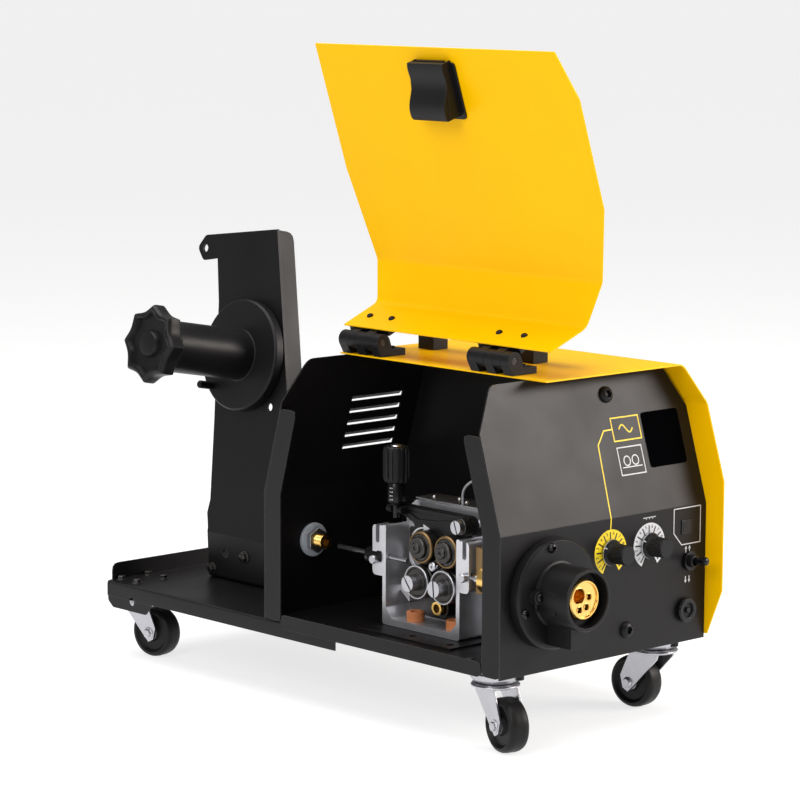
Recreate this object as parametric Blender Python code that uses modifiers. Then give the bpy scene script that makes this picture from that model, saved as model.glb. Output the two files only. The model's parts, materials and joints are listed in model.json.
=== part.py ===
"""Portable wire feeder on casters, as an assembly of separate parts.

Feeder frame: X to the operator's right (hood side), Y from the front panel to the rear, Z up.
Dimensions are in millimetres in that frame, whose zero is on the front panel's lower edge;
an empty shifts everything so that the world's origin is on the floor under the feeder's middle.
The door stands open at rest; it is built closed, under an empty on the hinge axis that opens it.
"""
from math import cos, hypot, pi, radians, sin, tan

import bmesh
import bpy
from mathutils import Matrix, Vector

MM = 0.001
GAP = 0.3
WELD = 0.000002
X_AXIS = Vector((1, 0, 0))
Y_AXIS = Vector((0, 1, 0))
Z_AXIS = Vector((0, 0, 1))

# Whole object
FLOOR_Z = -71.0
CENTRE_X = -5.47
CENTRE_Y = 269.36
SHEET = 1.5

# Case
HALF_WIDTH = 134.8
BEND_Z = 128.2
PANEL_TOP_Z = 256.7
FRONT_LEAN = 0.304
REAR_Y = 318.5
REAR_LEAN = 0.279
FLANGE_DEPTH = 23.0
FLOOR_TOP_Z = 7.0
PARTITION_X = 42.0
HOOD_X = 136.65
HOOD_BOTTOM_Z = 3.7
SHOULDER_Z = 221.8
SHOULDER_X = 116.3
TOP_Z = 258.6
TOP_EDGE_X = -64.9
FRONT_EDGE_Y = -20.8
REAR_EDGE_Y = 310.0

# Door and its hinges
HINGE_X = -62.0
HINGE_Z = 272.0
OPEN_ANGLE = 161.4
DOOR_TIP_X = -68.0
DOOR_TIP_Z = 262.0
BARREL_R = 8.5
HINGE_PIN_R = 3.0
HINGE_LENGTH = 54.0
HINGE_Y = {"front": 84.0, "rear": 258.0}
LATCH_Y = 153.0
LATCH_WIDTH = 46.0
LATCH_LOW_Z = 15.0
LATCH_HIGH_Z = 67.0

# Rear tray and spool bracket
TRAY_TOP_Z = 5.2
TRAY_X = 132.9
TRAY_FRONT_Y = 220.0
TRAY_REAR_Y = 565.0
BRACKET_SHEET = 2.5
FOOT_X = -44.0
FOOT_BEND_Z = 51.5
WEB_TILT = radians(10.2)
WEB_TOP_Z = 359.0
WEB_TOP_FRONT_Y = 468.4
WEB_FRONT_SLOPE = 0.30

# Spool hub, measured along its axis from the bracket
HUB_Y = 488.0
HUB_Z = 231.0
HUB_DISC_R = 56.5
HUB_DISC_END = 12.5
MANDREL_R = 25.5
MANDREL_END = 112.5
SHAFT_R = 6.0
KNOB_TIP_R = 38.7
KNOB_HOLLOW = 5.5
KNOB_TIPS = 8
KNOB_END = 131.5

# Casters
WHEEL_R = 25.0
WHEEL_HALF = 10.0
CASTER_TOP_Z = 3.4
CASTER_TRAIL = 21.0
CASTERS = {
    "front_left": (-105.0, 35.0, -104.0),
    "front_right": (105.0, 35.0, 94.0),
    "rear_left": (-103.0, 548.0, -80.0),
    "rear_right": (103.0, 548.0, -97.0),
}

# Wire drive
WIRE_X = -74.0
WIRE_Z = 73.1
DRIVE_FRONT_X = -79.0
DRIVE_BACK_X = -14.0
DRIVE_DECK_X = -48.0
DRIVE_Y0 = 109.0
DRIVE_Y1 = 213.0
DRIVE_WALL = 4.5
DRIVE_BOTTOM_Z = 9.3
WALL_TOP_Z = 104.0
FEED_ROLL_R = 16.0
FEED_ROLLS = {"front": (130.0, 56.5), "rear": (165.0, 56.5)}
PRESSURE_ROLL_R = 15.2
PRESSURE_ROLLS = {"front": (129.4, 89.0), "rear": (163.4, 89.0)}
ROLL_HALF = 7.0
ARM_PIVOT = (113.0, 115.0)
ARM_X0 = -66.0
ARM_X1 = -58.0
TENSION_Y = 200.0
TENSION_PIVOT_Z = 120.0
YOKE_R = 3.7
MOTOR_Y = 155.0
MOTOR_Z = 66.0
MOTOR_R = 31.0

# Front and rear fittings: X, Z on the panel
SOCKET = (-73.2, 71.2)
SOCKET_FLANGE_R = 48.0
SLEEVE_R = 27.0
INSERT_R = 18.2
DIALS = {"speed_dial": (5.6, 97.4), "voltage_dial": (57.2, 97.4)}
TOGGLE = (112.8, 76.0)
FRONT_SOCKET = (106.9, 30.5)
WINDOW = (71.5, 166.5, 119.5, 216.0)
INLET = (-75.0, 75.0)
CURRENT_CONNECTOR = (78.0, 45.0)
CONTROL_SOCKET = (100.0, 98.0)
GAS_INLET = (62.0, 92.0)
LOUVRE_X = (-44.6, 21.0)
LOUVRE_Z = 163.0
LOUVRE_PITCH = 12.0
LOUVRE_HEIGHT = 4.6
LOUVRES = 5

YELLOW = (0.95, 0.62, 0.01)
BLACK = (0.012, 0.012, 0.014)
PLASTIC = (0.016, 0.016, 0.018)
ALUMINIUM = (0.55, 0.56, 0.58)
ZINC = (0.62, 0.63, 0.65)
BRASS = (0.70, 0.47, 0.16)
RUBBER = (0.020, 0.020, 0.022)
GREEN = (0.02, 0.16, 0.07)
SMOKE = (0.006, 0.006, 0.008)


# ---------------------------------------------------------------- scene and materials

def clear_scene():
    for obj in list(bpy.data.objects):
        bpy.data.objects.remove(obj, do_unlink=True)


def collection(name):
    group = bpy.data.collections.new(name)
    bpy.context.scene.collection.children.link(group)
    return group


def material(name, colour, roughness, metallic):
    made = bpy.data.materials.new(name)
    made.use_nodes = True
    shader = made.node_tree.nodes["Principled BSDF"]
    shader.inputs["Base Color"].default_value = (*colour, 1.0)
    shader.inputs["Roughness"].default_value = roughness
    shader.inputs["Metallic"].default_value = metallic
    return made


clear_scene()
PARTS = collection("wire_feeder")
CUTTERS = collection("cutters")


def pivot(name, position, parent=None, rotation=None):
    """An empty that carries parts; its own place is in millimetres under its parent."""
    empty = bpy.data.objects.new(name, None)
    PARTS.objects.link(empty)
    empty.parent = parent
    turn = rotation.to_4x4() if rotation else Matrix.Identity(4)
    empty.matrix_basis = Matrix.Translation(Vector(position) * MM) @ turn
    return empty


# ---------------------------------------------------------------- frames and outlines

def axes(origin, u, v):
    """A frame whose X and Y run along u and v, with its origin in millimetres."""
    u = Vector(u).normalized()
    v = Vector(v).normalized()
    frame = Matrix((u, v, u.cross(v))).transposed().to_4x4()
    frame.translation = Vector(origin)
    return frame


def along(origin, direction, reference=Y_AXIS):
    """A frame whose Z runs along direction and whose X is square to reference."""
    w = Vector(direction).normalized()
    u = Vector(reference).cross(w)
    return axes(origin, u, w.cross(u))


def side_frame(x):
    return axes((x, 0, 0), Y_AXIS, Z_AXIS)


def end_frame(y):
    return axes((0, y, 0), X_AXIS, Z_AXIS)


def level_frame(z):
    return axes((0, 0, z), X_AXIS, Y_AXIS)


def circle(u, v, radius, sides=20):
    return [(u + radius * cos(2 * pi * i / sides), v + radius * sin(2 * pi * i / sides))
            for i in range(sides)]


def rectangle(u0, v0, u1, v1):
    return [(u0, v0), (u1, v0), (u1, v1), (u0, v1)]


def filleted(points, radius, closed=True, steps=3):
    """The outline with each corner replaced by an arc (by a smaller one on short edges)."""
    made = []
    count = len(points)
    for i, corner in enumerate(points):
        if not closed and i in (0, count - 1):
            made.append(corner)
            continue
        here = Vector(corner)
        back = Vector(points[i - 1]) - here
        ahead = Vector(points[(i + 1) % count]) - here
        half = back.angle(ahead) / 2
        cut = min(radius / tan(half), 0.45 * back.length, 0.45 * ahead.length)
        start = here + back.normalized() * cut
        end = here + ahead.normalized() * cut
        for step in range(steps + 1):
            t = step / steps
            point = start * (1 - t) ** 2 + here * 2 * t * (1 - t) + end * t ** 2
            made.append((point.x, point.y))
    return made


def offset_path(path, distance):
    """The open path moved sideways to its right by distance, with mitred corners."""
    normals = []
    for (u0, v0), (u1, v1) in zip(path, path[1:]):
        length = hypot(u1 - u0, v1 - v0)
        normals.append(((v1 - v0) / length, -(u1 - u0) / length))
    moved = []
    for i, (u, v) in enumerate(path):
        before = normals[max(i - 1, 0)]
        after = normals[min(i, len(normals) - 1)]
        share = 1 + before[0] * after[0] + before[1] * after[1]
        moved.append((u + distance * (before[0] + after[0]) / share,
                      v + distance * (before[1] + after[1]) / share))
    return moved


# ---------------------------------------------------------------- solids

def finish_object(name, mesh, frame, parent, look, cutter):
    for polygon in mesh.polygons:
        polygon.use_smooth = True
    mesh.set_sharp_from_angle(angle=radians(35))
    obj = bpy.data.objects.new(name, mesh)
    (CUTTERS if cutter else PARTS).objects.link(obj)
    obj.parent = parent or BODY
    place = frame.copy()
    place.translation = frame.translation * MM
    obj.matrix_basis = place
    if cutter:
        obj.hide_render = True
        obj.display_type = "WIRE"
    else:
        mesh.materials.append(look)
    return obj


def baked(source):
    """The evaluated mesh of an object that is then removed, welded and facing outwards."""
    bpy.context.scene.collection.objects.link(source)
    graph = bpy.context.evaluated_depsgraph_get()
    mesh = bpy.data.meshes.new_from_object(source.evaluated_get(graph))
    work = bmesh.new()
    work.from_mesh(mesh)
    bmesh.ops.remove_doubles(work, verts=work.verts, dist=WELD)
    bmesh.ops.recalc_face_normals(work, faces=work.faces)
    work.to_mesh(mesh)
    work.free()
    bpy.data.objects.remove(source, do_unlink=True)
    return mesh


def plate(name, outlines, thickness, frame, look=None, parent=None, cutter=False):
    """A flat plate, centred on the frame's plane: its outline first, then its holes."""
    curve = bpy.data.curves.new(name, "CURVE")
    curve.dimensions = "2D"
    curve.fill_mode = "BOTH"
    curve.extrude = thickness * MM / 2
    for outline in outlines:
        spline = curve.splines.new("POLY")
        spline.points.add(len(outline) - 1)
        for point, (u, v) in zip(spline.points, outline):
            point.co = (u * MM, v * MM, 0, 1)
        spline.use_cyclic_u = True
    mesh = baked(bpy.data.objects.new(name, curve))
    return finish_object(name, mesh, frame, parent, look, cutter)


def bent_sheet(name, path, thickness, width, frame, look=None, parent=None, cutter=False):
    """A sheet that follows the path, thickened to the path's right."""
    outline = path + list(reversed(offset_path(path, thickness)))
    return plate(name, [outline], width, frame, look, parent, cutter)


def block(name, low, high, look=None, parent=None, cutter=False, bevel=0.0):
    work = bmesh.new()
    size = Vector(high) - Vector(low)
    middle = (Vector(high) + Vector(low)) / 2
    bmesh.ops.create_cube(work, size=MM, matrix=Matrix.Diagonal((*size, 1)))
    mesh = bpy.data.meshes.new(name)
    work.to_mesh(mesh)
    work.free()
    obj = finish_object(name, mesh, Matrix.Translation(middle), parent, look, cutter)
    if bevel:
        rounding = obj.modifiers.new("edges", "BEVEL")
        rounding.width = bevel * MM
        rounding.segments = 2
    return obj


def turned(name, profile, frame, look=None, parent=None, cutter=False, steps=20, ring=False):
    """A turned solid: profile of (radius, height), down its outer side; a ring closes on itself."""
    mesh = bpy.data.meshes.new(name)
    count = len(profile)
    edges = [(i, i + 1) for i in range(count - 1)]
    if ring:
        edges.append((count - 1, 0))
    mesh.from_pydata([(r * MM, 0, h * MM) for r, h in profile], edges, [])
    source = bpy.data.objects.new(name, mesh)
    screw = source.modifiers.new("turn", "SCREW")
    screw.axis = "Z"
    screw.steps = steps
    screw.render_steps = steps
    screw.use_merge_vertices = True
    screw.merge_threshold = WELD
    return finish_object(name, baked(source), frame, parent, look, cutter)


def rod(name, start, end, radius, look=None, parent=None, cutter=False, sides=16):
    start = Vector(start)
    end = Vector(end)
    length = (end - start).length
    frame = along(start, end - start, Z_AXIS if abs((end - start).z) < 0.9 * length else Y_AXIS)
    profile = [(0, length), (radius, length), (radius, 0), (0, 0)]
    return turned(name, profile, frame, look, parent, cutter, sides)


def combine(target, tools, operation):
    for tool in tools:
        step = target.modifiers.new(tool.name, "BOOLEAN")
        step.operation = operation
        step.solver = "EXACT"
        step.object = tool


def join(target, *tools):
    combine(target, tools, "UNION")


def cut(target, *tools):
    combine(target, tools, "DIFFERENCE")


def trim(target, *tools):
    combine(target, tools, "INTERSECT")


def punch(target, holes, axis, start, end):
    """Round holes through target: (X, Z, radius) along Y, or (Y, Z, radius) along X."""
    for i, (u, z, radius) in enumerate(holes):
        foot = Vector((u, 0, z)) if axis == Y_AXIS else Vector((0, u, z))
        cut(target, rod(f"{target.name}_hole_{i}", foot + axis * start, foot + axis * end, radius, cutter=True))


# ---------------------------------------------------------------- looks and main pivots

PAINT_YELLOW = material("yellow_paint", YELLOW, 0.38, 0.0)
PAINT_BLACK = material("black_paint", BLACK, 0.42, 0.0)
BLACK_PLASTIC = material("black_plastic", PLASTIC, 0.48, 0.0)
CAST_METAL = material("cast_aluminium", ALUMINIUM, 0.42, 1.0)
ZINC_STEEL = material("zinc_steel", ZINC, 0.30, 1.0)
BRASS_METAL = material("brass", BRASS, 0.28, 1.0)
WHEEL_RUBBER = material("wheel_rubber", RUBBER, 0.6, 0.0)
BOARD_GREEN = material("board_green", GREEN, 0.45, 0.0)
SMOKED = material("smoked_plastic", SMOKE, 0.15, 0.0)

BODY = pivot("feeder_frame", (-CENTRE_X, -CENTRE_Y, -FLOOR_Z))
DOOR = pivot("door_axis", (HINGE_X, 0, HINGE_Z), BODY, Matrix.Rotation(radians(OPEN_ANGLE), 3, "Y"))


def door_point(x, y, z):
    """A point given for the closed door, seen from the hinge axis."""
    return Vector((x - HINGE_X, y, z - HINGE_Z))


def in_door(frame):
    """A frame given for the closed door, seen from the hinge axis."""
    return Matrix.Translation((-HINGE_X, 0, -HINGE_Z)) @ frame


# ---------------------------------------------------------------- case

def panel_outline(low_z):
    corner_x = HALF_WIDTH - 23.8
    shape = [(-HALF_WIDTH, 216.6), (-corner_x, PANEL_TOP_Z), (corner_x, PANEL_TOP_Z), (HALF_WIDTH, 216.6)]
    return [(-HALF_WIDTH, low_z)] + filleted(shape, 12, closed=False) + [(HALF_WIDTH, low_z)]


def side_flanges(panel, name, outline):
    for side, sign in (("left", -1), ("right", 1)):
        flange = plate(f"{name}_flange_{side}", [outline], SHEET,
                       side_frame(sign * (HALF_WIDTH - 0.2 - SHEET / 2)), cutter=True)
        join(panel, flange)


def front_panel():
    lean_y = FRONT_LEAN * (PANEL_TOP_Z + 1 - BEND_Z)
    path = filleted([(0, -1), (0, BEND_Z), (lean_y, PANEL_TOP_Z + 1)], 5, closed=False)
    panel = bent_sheet("front_panel", path, SHEET, 2 * HALF_WIDTH + 2, side_frame(0), PAINT_BLACK)
    trim(panel, plate("front_panel_shape", [panel_outline(0)], 140, end_frame(20), cutter=True))
    holes = [(*SOCKET, 19.4), (*TOGGLE, 6.3), (*FRONT_SOCKET, 9.4)] + [(x, z, 3.7) for x, z in DIALS.values()]
    punch(panel, holes, Y_AXIS, -20, 60)
    x0, z0, x1, z1 = WINDOW
    cut(panel, block("front_panel_window", (x0 + 4, -10, z0 + 4), (x1 - 4, 60, z1 - 4), cutter=True))
    top_z = 214
    lean_top = FRONT_LEAN * (top_z - BEND_Z)
    flange = [(0.6, 0.4), (FLANGE_DEPTH, 0.4), (FLANGE_DEPTH, BEND_Z),
              (FLANGE_DEPTH + lean_top, top_z), (0.8 + lean_top, top_z), (0.8, BEND_Z)]
    side_flanges(panel, "front_panel", filleted(flange, 5, steps=2))
    return panel


def rear_panel():
    low_z = TRAY_TOP_Z + GAP
    lean_y = REAR_LEAN * (PANEL_TOP_Z + 1 - BEND_Z)
    path = filleted([(REAR_Y, 0), (REAR_Y, BEND_Z), (REAR_Y - lean_y, PANEL_TOP_Z + 1)], 5, closed=False)
    path.reverse()
    panel = bent_sheet("rear_panel", path, SHEET, 2 * HALF_WIDTH + 2, side_frame(0), PAINT_BLACK)
    trim(panel, plate("rear_panel_shape", [panel_outline(low_z)], 140, end_frame(290), cutter=True))
    holes = [(*INLET, 8.5), (*CURRENT_CONNECTOR, 14.6), (*CONTROL_SOCKET, 12.6), (*GAS_INLET, 5.6)]
    punch(panel, holes, Y_AXIS, 260, 340)
    for i in range(LOUVRES):
        z = LOUVRE_Z + i * LOUVRE_PITCH
        cut(panel, block(f"rear_panel_louvre_{i}", (LOUVRE_X[0], 260, z - LOUVRE_HEIGHT / 2),
                         (LOUVRE_X[1], 340, z + LOUVRE_HEIGHT / 2), cutter=True))
    top_z = 210
    lean_top = REAR_LEAN * (top_z - BEND_Z)
    back = REAR_Y - 0.6
    front = REAR_Y - FLANGE_DEPTH
    flange = [(back, low_z + 0.3), (back - 0.1, BEND_Z), (back - lean_top - 0.1, top_z),
              (front - lean_top, top_z), (front, BEND_Z), (front, low_z + 0.3)]
    side_flanges(panel, "rear_panel", filleted(flange, 5, steps=2))
    return panel


def base_pan():
    inner = HALF_WIDTH - 2.2
    low_z = FLOOR_TOP_Z - SHEET
    lip0 = FLANGE_DEPTH + 1
    lip1 = REAR_Y - FLANGE_DEPTH - 1
    pan = block("base_pan", (-inner, SHEET + 0.5, low_z), (inner, REAR_Y - SHEET - 0.5, FLOOR_TOP_Z), PAINT_BLACK)
    lip = filleted(rectangle(lip0, -1, lip1, 13), 5, steps=2)
    for sign in (-1, 1):
        near, far = sorted((sign * (inner - 2), sign * (HALF_WIDTH - 0.5)))
        strip = block(f"base_pan_strip_{sign}", (near, lip0 + 1, low_z + 0.1), (far, lip1 - 1, FLOOR_TOP_Z - 0.1),
                      cutter=True)
        join(pan, strip, plate(f"base_pan_lip_{sign}", [lip], SHEET,
                               side_frame(sign * (HALF_WIDTH - SHEET / 2)), cutter=True))
    for name in ("front_left", "front_right"):
        x, y, _ = CASTERS[name]
        join(pan, block(f"base_pan_pad_{name}", (x - 27, y - 24, CASTER_TOP_Z + GAP),
                        (x + 27, y + 24, FLOOR_TOP_Z - SHEET / 2), cutter=True))
    return pan


def inner_partition():
    low_z = FLOOR_TOP_Z + GAP
    high_z = TOP_Z - SHEET - GAP
    front = SHEET + 0.6
    back = REAR_Y - SHEET - 0.6
    outline = [(front, low_z), (back, low_z), (back, BEND_Z - 1),
               (back - REAR_LEAN * (high_z - BEND_Z) - 1, high_z),
               (front + FRONT_LEAN * (high_z - BEND_Z) + 1, high_z), (front, BEND_Z)]
    motor_hole = circle(MOTOR_Y, MOTOR_Z, MOTOR_R + 2, 24)
    wall = plate("inner_partition", [outline, motor_hole], SHEET,
                 side_frame(PARTITION_X + SHEET / 2), PAINT_BLACK)
    foot = block("inner_partition_foot", (PARTITION_X + 0.4, 20, low_z + 0.1),
                 (PARTITION_X + 16, 298, low_z + SHEET), cutter=True)
    join(wall, foot)
    return wall


def skin_outline(top_z):
    """The hood's and the closed door's outline, seen from the side."""
    return [(-3.1, HOOD_BOTTOM_Z), (REAR_EDGE_Y, HOOD_BOTTOM_Z), (REAR_EDGE_Y, BEND_Z),
            (298, SHOULDER_Z), (287.7, top_z), (16.2, top_z), (1.7, SHOULDER_Z),
            (FRONT_EDGE_Y, 150), (FRONT_EDGE_Y, 47.2)]


def hood():
    path = [(TOP_EDGE_X, TOP_Z), (SHOULDER_X, TOP_Z), (HOOD_X, SHOULDER_Z), (HOOD_X, 0)]
    path = filleted(path, 9, closed=False)
    shell = bent_sheet("hood", path, SHEET, 400, end_frame(145), PAINT_YELLOW)
    trim(shell, plate("hood_shape", [skin_outline(TOP_Z + 3)], 260, side_frame(40), cutter=True))
    return shell


def door_panel():
    path = [(-HOOD_X, 0), (-HOOD_X, SHOULDER_Z), (-SHOULDER_X, TOP_Z), (DOOR_TIP_X, DOOR_TIP_Z)]
    path = filleted(path, 12, closed=False, steps=4)
    shell = bent_sheet("door_panel", path, SHEET, 400, in_door(end_frame(145)), PAINT_YELLOW, DOOR)
    trim(shell, plate("door_shape", [skin_outline(TOP_Z + 8)], 160, in_door(side_frame(-110)),
                      parent=DOOR, cutter=True))
    cut(shell, block("door_slot", door_point(-160, LATCH_Y - 10, 29), door_point(-125, LATCH_Y + 10, 53),
                     parent=DOOR, cutter=True))
    return shell


# ---------------------------------------------------------------- hinges and latch

def hinge(where):
    y = HINGE_Y[where]
    half = HINGE_LENGTH / 2
    fixed_segments = [(-half, -16), (-5.4, 5.4), (16, half)]
    moving_segments = [(-15.6, -5.8), (5.8, 15.6)]
    base_z = TOP_Z + GAP

    leaf = block(f"hinge_leaf_{where}", (-52.5, y - half, base_z), (-34, y + half, base_z + 6.5),
                 BLACK_PLASTIC)
    for i, (low, high) in enumerate(fixed_segments):
        shape = [(HINGE_X - 2.5, base_z), (-51, base_z), (-51, base_z + 7.5)]
        shape += circle(HINGE_X, HINGE_Z, BARREL_R, 16)[1:10]
        join(leaf, plate(f"{leaf.name}_knuckle_{i}", [shape], high - low,
                         end_frame(y + (low + high) / 2), cutter=True))
    cut(leaf, rod(f"{leaf.name}_bore", (HINGE_X, y - 40, HINGE_Z), (HINGE_X, y + 40, HINGE_Z),
                  HINGE_PIN_R + GAP, cutter=True, sides=12))

    underside = [(-102, 260.4), (-71, 262.5)]
    pad = underside + [(-71, 268.5), (-102, 266)]
    flap = plate(f"hinge_flap_{where}", [pad], HINGE_LENGTH, in_door(end_frame(y)), BLACK_PLASTIC, DOOR)
    for i, (low, high) in enumerate(moving_segments):
        barrel = circle(HINGE_X, HINGE_Z, BARREL_R, 16)
        shape = [(-74, 262.8)] + barrel[12:] + barrel[:7] + [(-74, 268)]
        join(flap, plate(f"{flap.name}_knuckle_{i}", [shape], high - low,
                         in_door(end_frame(y + (low + high) / 2)), parent=DOOR, cutter=True))
    bore_low = Vector((0, y - 40, 0))
    cut(flap, rod(f"{flap.name}_bore", bore_low, bore_low + Vector((0, 80, 0)),
                  HINGE_PIN_R + GAP, parent=DOOR, cutter=True, sides=12))

    rod(f"hinge_pin_{where}", (HINGE_X, y - half + 0.5, HINGE_Z), (HINGE_X, y + half - 0.5, HINGE_Z),
        HINGE_PIN_R, ZINC_STEEL, sides=12)


def latch():
    face_x = -HOOD_X + SHEET + GAP
    y0 = LATCH_Y - LATCH_WIDTH / 2
    y1 = LATCH_Y + LATCH_WIDTH / 2
    wave = []
    for i in range(13):
        t = i / 12
        z = LATCH_HIGH_Z - 3 - t * (LATCH_HIGH_Z - LATCH_LOW_Z - 3)
        depth = 21 - 12 * t + 2.2 * sin(2.6 * pi * t)
        wave.append((face_x + depth, z))
    shape = [(face_x, LATCH_LOW_Z), (face_x, LATCH_HIGH_Z), (face_x + 19, LATCH_HIGH_Z)] + wave
    housing = plate("latch_housing", [shape], LATCH_WIDTH, in_door(end_frame((y0 + y1) / 2)),
                    BLACK_PLASTIC, DOOR)
    cut(housing, block("latch_room", door_point(face_x - 5, LATCH_Y - 21, LATCH_LOW_Z - 5),
                       door_point(face_x + 6.5, LATCH_Y + 21, 63), parent=DOOR, cutter=True))

    outside_x = -HOOD_X - GAP
    grip = block("latch_slider", door_point(outside_x - 3.6, LATCH_Y - 19, 28),
                 door_point(outside_x, LATCH_Y + 19, 56), BLACK_PLASTIC, DOOR, bevel=1.0)
    neck = block("latch_neck", door_point(outside_x - 2, LATCH_Y - 8, 36),
                 door_point(-131.5, LATCH_Y + 8, 52), parent=DOOR, cutter=True)
    tongue = block("latch_tongue", door_point(-132.7, LATCH_Y - 18, LATCH_LOW_Z - 0.6),
                   door_point(-129.7, LATCH_Y + 18, 56), parent=DOOR, cutter=True)
    join(grip, neck, tongue)


def carrying_handle():
    foot_z = TOP_Z + GAP
    shape = [(259, foot_z), (259, 286), (244, 308), (64, 308), (53, 302), (62, 294), (104, 293),
             (104, foot_z), (125, foot_z), (125, 293), (229, 293), (238, 285), (238, foot_z)]
    corners = [shape[0]] + filleted(shape[1:7], 7, closed=False) + [shape[7], shape[8]]
    corners += filleted(shape[9:12], 5, closed=False) + [shape[12]]
    handle = plate("carrying_handle", [corners], 19, side_frame(18.7), BLACK_PLASTIC)
    rounding = handle.modifiers.new("edges", "BEVEL")
    rounding.width = 2.5 * MM
    rounding.segments = 2
    rounding.angle_limit = radians(50)
    return handle


# ---------------------------------------------------------------- tray and spool bracket

def rear_tray():
    path = [(-TRAY_X, -10), (-TRAY_X, TRAY_TOP_Z), (TRAY_X, TRAY_TOP_Z), (TRAY_X, -10)]
    path = filleted(path, 3, closed=False, steps=2)
    length = TRAY_REAR_Y - TRAY_FRONT_Y
    tray = bent_sheet("rear_tray", path, SHEET, length, end_frame(TRAY_FRONT_Y + length / 2), PAINT_BLACK)
    ear = filleted([(492, -8), (503, -21.2), (556, -21.2), (TRAY_REAR_Y - 1, -15), (TRAY_REAR_Y - 1, 1),
                    (492, 1)], 4, steps=2)
    for sign in (-1, 1):
        join(tray, plate(f"rear_tray_ear_{sign}", [ear], SHEET - 0.2,
                         side_frame(sign * (TRAY_X - SHEET / 2)), cutter=True))
    lip = filleted([(-127, 4.4), (-127, 22), (127, 22), (127, 4.4)], 9, closed=False)
    join(tray, plate("rear_tray_lip", [lip], SHEET, end_frame(TRAY_REAR_Y - 0.2 - SHEET / 2), cutter=True))
    punch(tray, [(526, -11, 4.5)], X_AXIS, -160, 160)
    return tray


def web_x(z):
    """X of the spool bracket's left face at a height above its lower bend."""
    return FOOT_X + (z - FOOT_BEND_Z) * tan(WEB_TILT)


HUB_AXIS = Vector((-cos(WEB_TILT), 0, sin(WEB_TILT)))
HUB_ORIGIN = Vector((web_x(HUB_Z), HUB_Y, HUB_Z))


def spool_bracket():
    low_z = TRAY_TOP_Z + GAP
    path = [(FOOT_X + 30, low_z), (FOOT_X, low_z), (FOOT_X, FOOT_BEND_Z), (web_x(WEB_TOP_Z + 4), WEB_TOP_Z + 4)]
    path = filleted(path, 4, closed=False)
    bracket = bent_sheet("spool_bracket", path, BRACKET_SHEET, 260, end_frame(480), PAINT_BLACK)
    front_low_y = WEB_TOP_FRONT_Y - WEB_FRONT_SLOPE * (WEB_TOP_Z - 64)
    tab = [(555.6, 323.5), (577, 320), (588.5, 332.7), (578, 346)]
    shape = [(511, -2), (514, 56), (518, 70), (516, 84), (526.5, 164), (544, 281)]
    shape += filleted(tab + [(WEB_TOP_FRONT_Y, WEB_TOP_Z)], 6)[:-4]
    shape += [(WEB_TOP_FRONT_Y, WEB_TOP_Z), (front_low_y, 64), (front_low_y, -2)]
    trim(bracket, plate("spool_bracket_shape", [shape], 160, side_frame(-10), cutter=True))
    punch(bracket, [(576, 332.5, 4), (485, 33, 4.5), (444, 184, 4)], X_AXIS, -90, 60)

    top = Vector((web_x(WEB_TOP_Z), WEB_TOP_FRONT_Y, WEB_TOP_Z))
    low = Vector((web_x(66), WEB_TOP_FRONT_Y - WEB_FRONT_SLOPE * (WEB_TOP_Z - 66), 66))
    frame = axes(low, top - low, -HUB_AXIS)
    frame.translation += frame.col[2].to_3d() * (BRACKET_SHEET / 2 + 0.4)
    length = (top - low).length
    fold = [(0, 1.2), (length - 0.6, 1.2)]
    edge = filleted([fold[1], (length - 0.6, 22), (12, 22), (0, 12), fold[0]], 14, closed=False)
    join(bracket, plate("spool_bracket_flange", [fold + edge[1:-1]], BRACKET_SHEET, frame, cutter=True))
    cut(bracket, rod("hub_bolt_hole", HUB_ORIGIN - HUB_AXIS * 20, HUB_ORIGIN + HUB_AXIS * 20,
                     SHAFT_R + 0.4, cutter=True, sides=16))
    return bracket


def hub():
    frame = along(HUB_ORIGIN, HUB_AXIS)
    nut_top = -BRACKET_SHEET - GAP
    shaft = [(0, MANDREL_END + 4), (SHAFT_R, MANDREL_END + 4), (SHAFT_R, nut_top), (11, nut_top),
             (11, nut_top - 8), (0, nut_top - 8)]
    turned("hub_shaft", shaft, frame, ZINC_STEEL, steps=12)

    bore = SHAFT_R + 0.5
    profile = [(MANDREL_R, MANDREL_END), (MANDREL_R, HUB_DISC_END), (HUB_DISC_R - 2, HUB_DISC_END),
               (HUB_DISC_R, HUB_DISC_END - 2), (HUB_DISC_R, 0.5), (bore, 0.5), (bore, 18), (20, 18),
               (20, MANDREL_END - 8), (bore, MANDREL_END - 8), (bore, MANDREL_END)]
    mandrel = turned("hub_mandrel", profile, frame, BLACK_PLASTIC, steps=28, ring=True)
    pin_foot = frame @ Vector((-35, 33, HUB_DISC_END - 3))
    join(mandrel, rod("hub_locating_pin", pin_foot, pin_foot + HUB_AXIS * 28, 4, cutter=True, sides=16))

    outline = []
    for i in range(48):
        angle = 2 * pi * i / 48
        radius = KNOB_TIP_R - KNOB_HOLLOW * abs(sin(KNOB_TIPS * angle / 2))
        outline.append((radius * cos(angle), radius * sin(angle)))
    thickness = KNOB_END - MANDREL_END - GAP
    middle = HUB_ORIGIN + HUB_AXIS * (MANDREL_END + GAP + thickness / 2)
    knob = plate("hub_lock_knob", [outline], thickness, along(middle, HUB_AXIS), BLACK_PLASTIC)
    rounding = knob.modifiers.new("edges", "BEVEL")
    rounding.width = 3.0 * MM
    rounding.segments = 1
    rounding.angle_limit = radians(70)
    tip = HUB_ORIGIN + HUB_AXIS * (MANDREL_END - 5)
    cut(knob, rod("hub_knob_bore", tip, tip + HUB_AXIS * 10, SHAFT_R + 0.5, cutter=True, sides=16))


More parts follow.
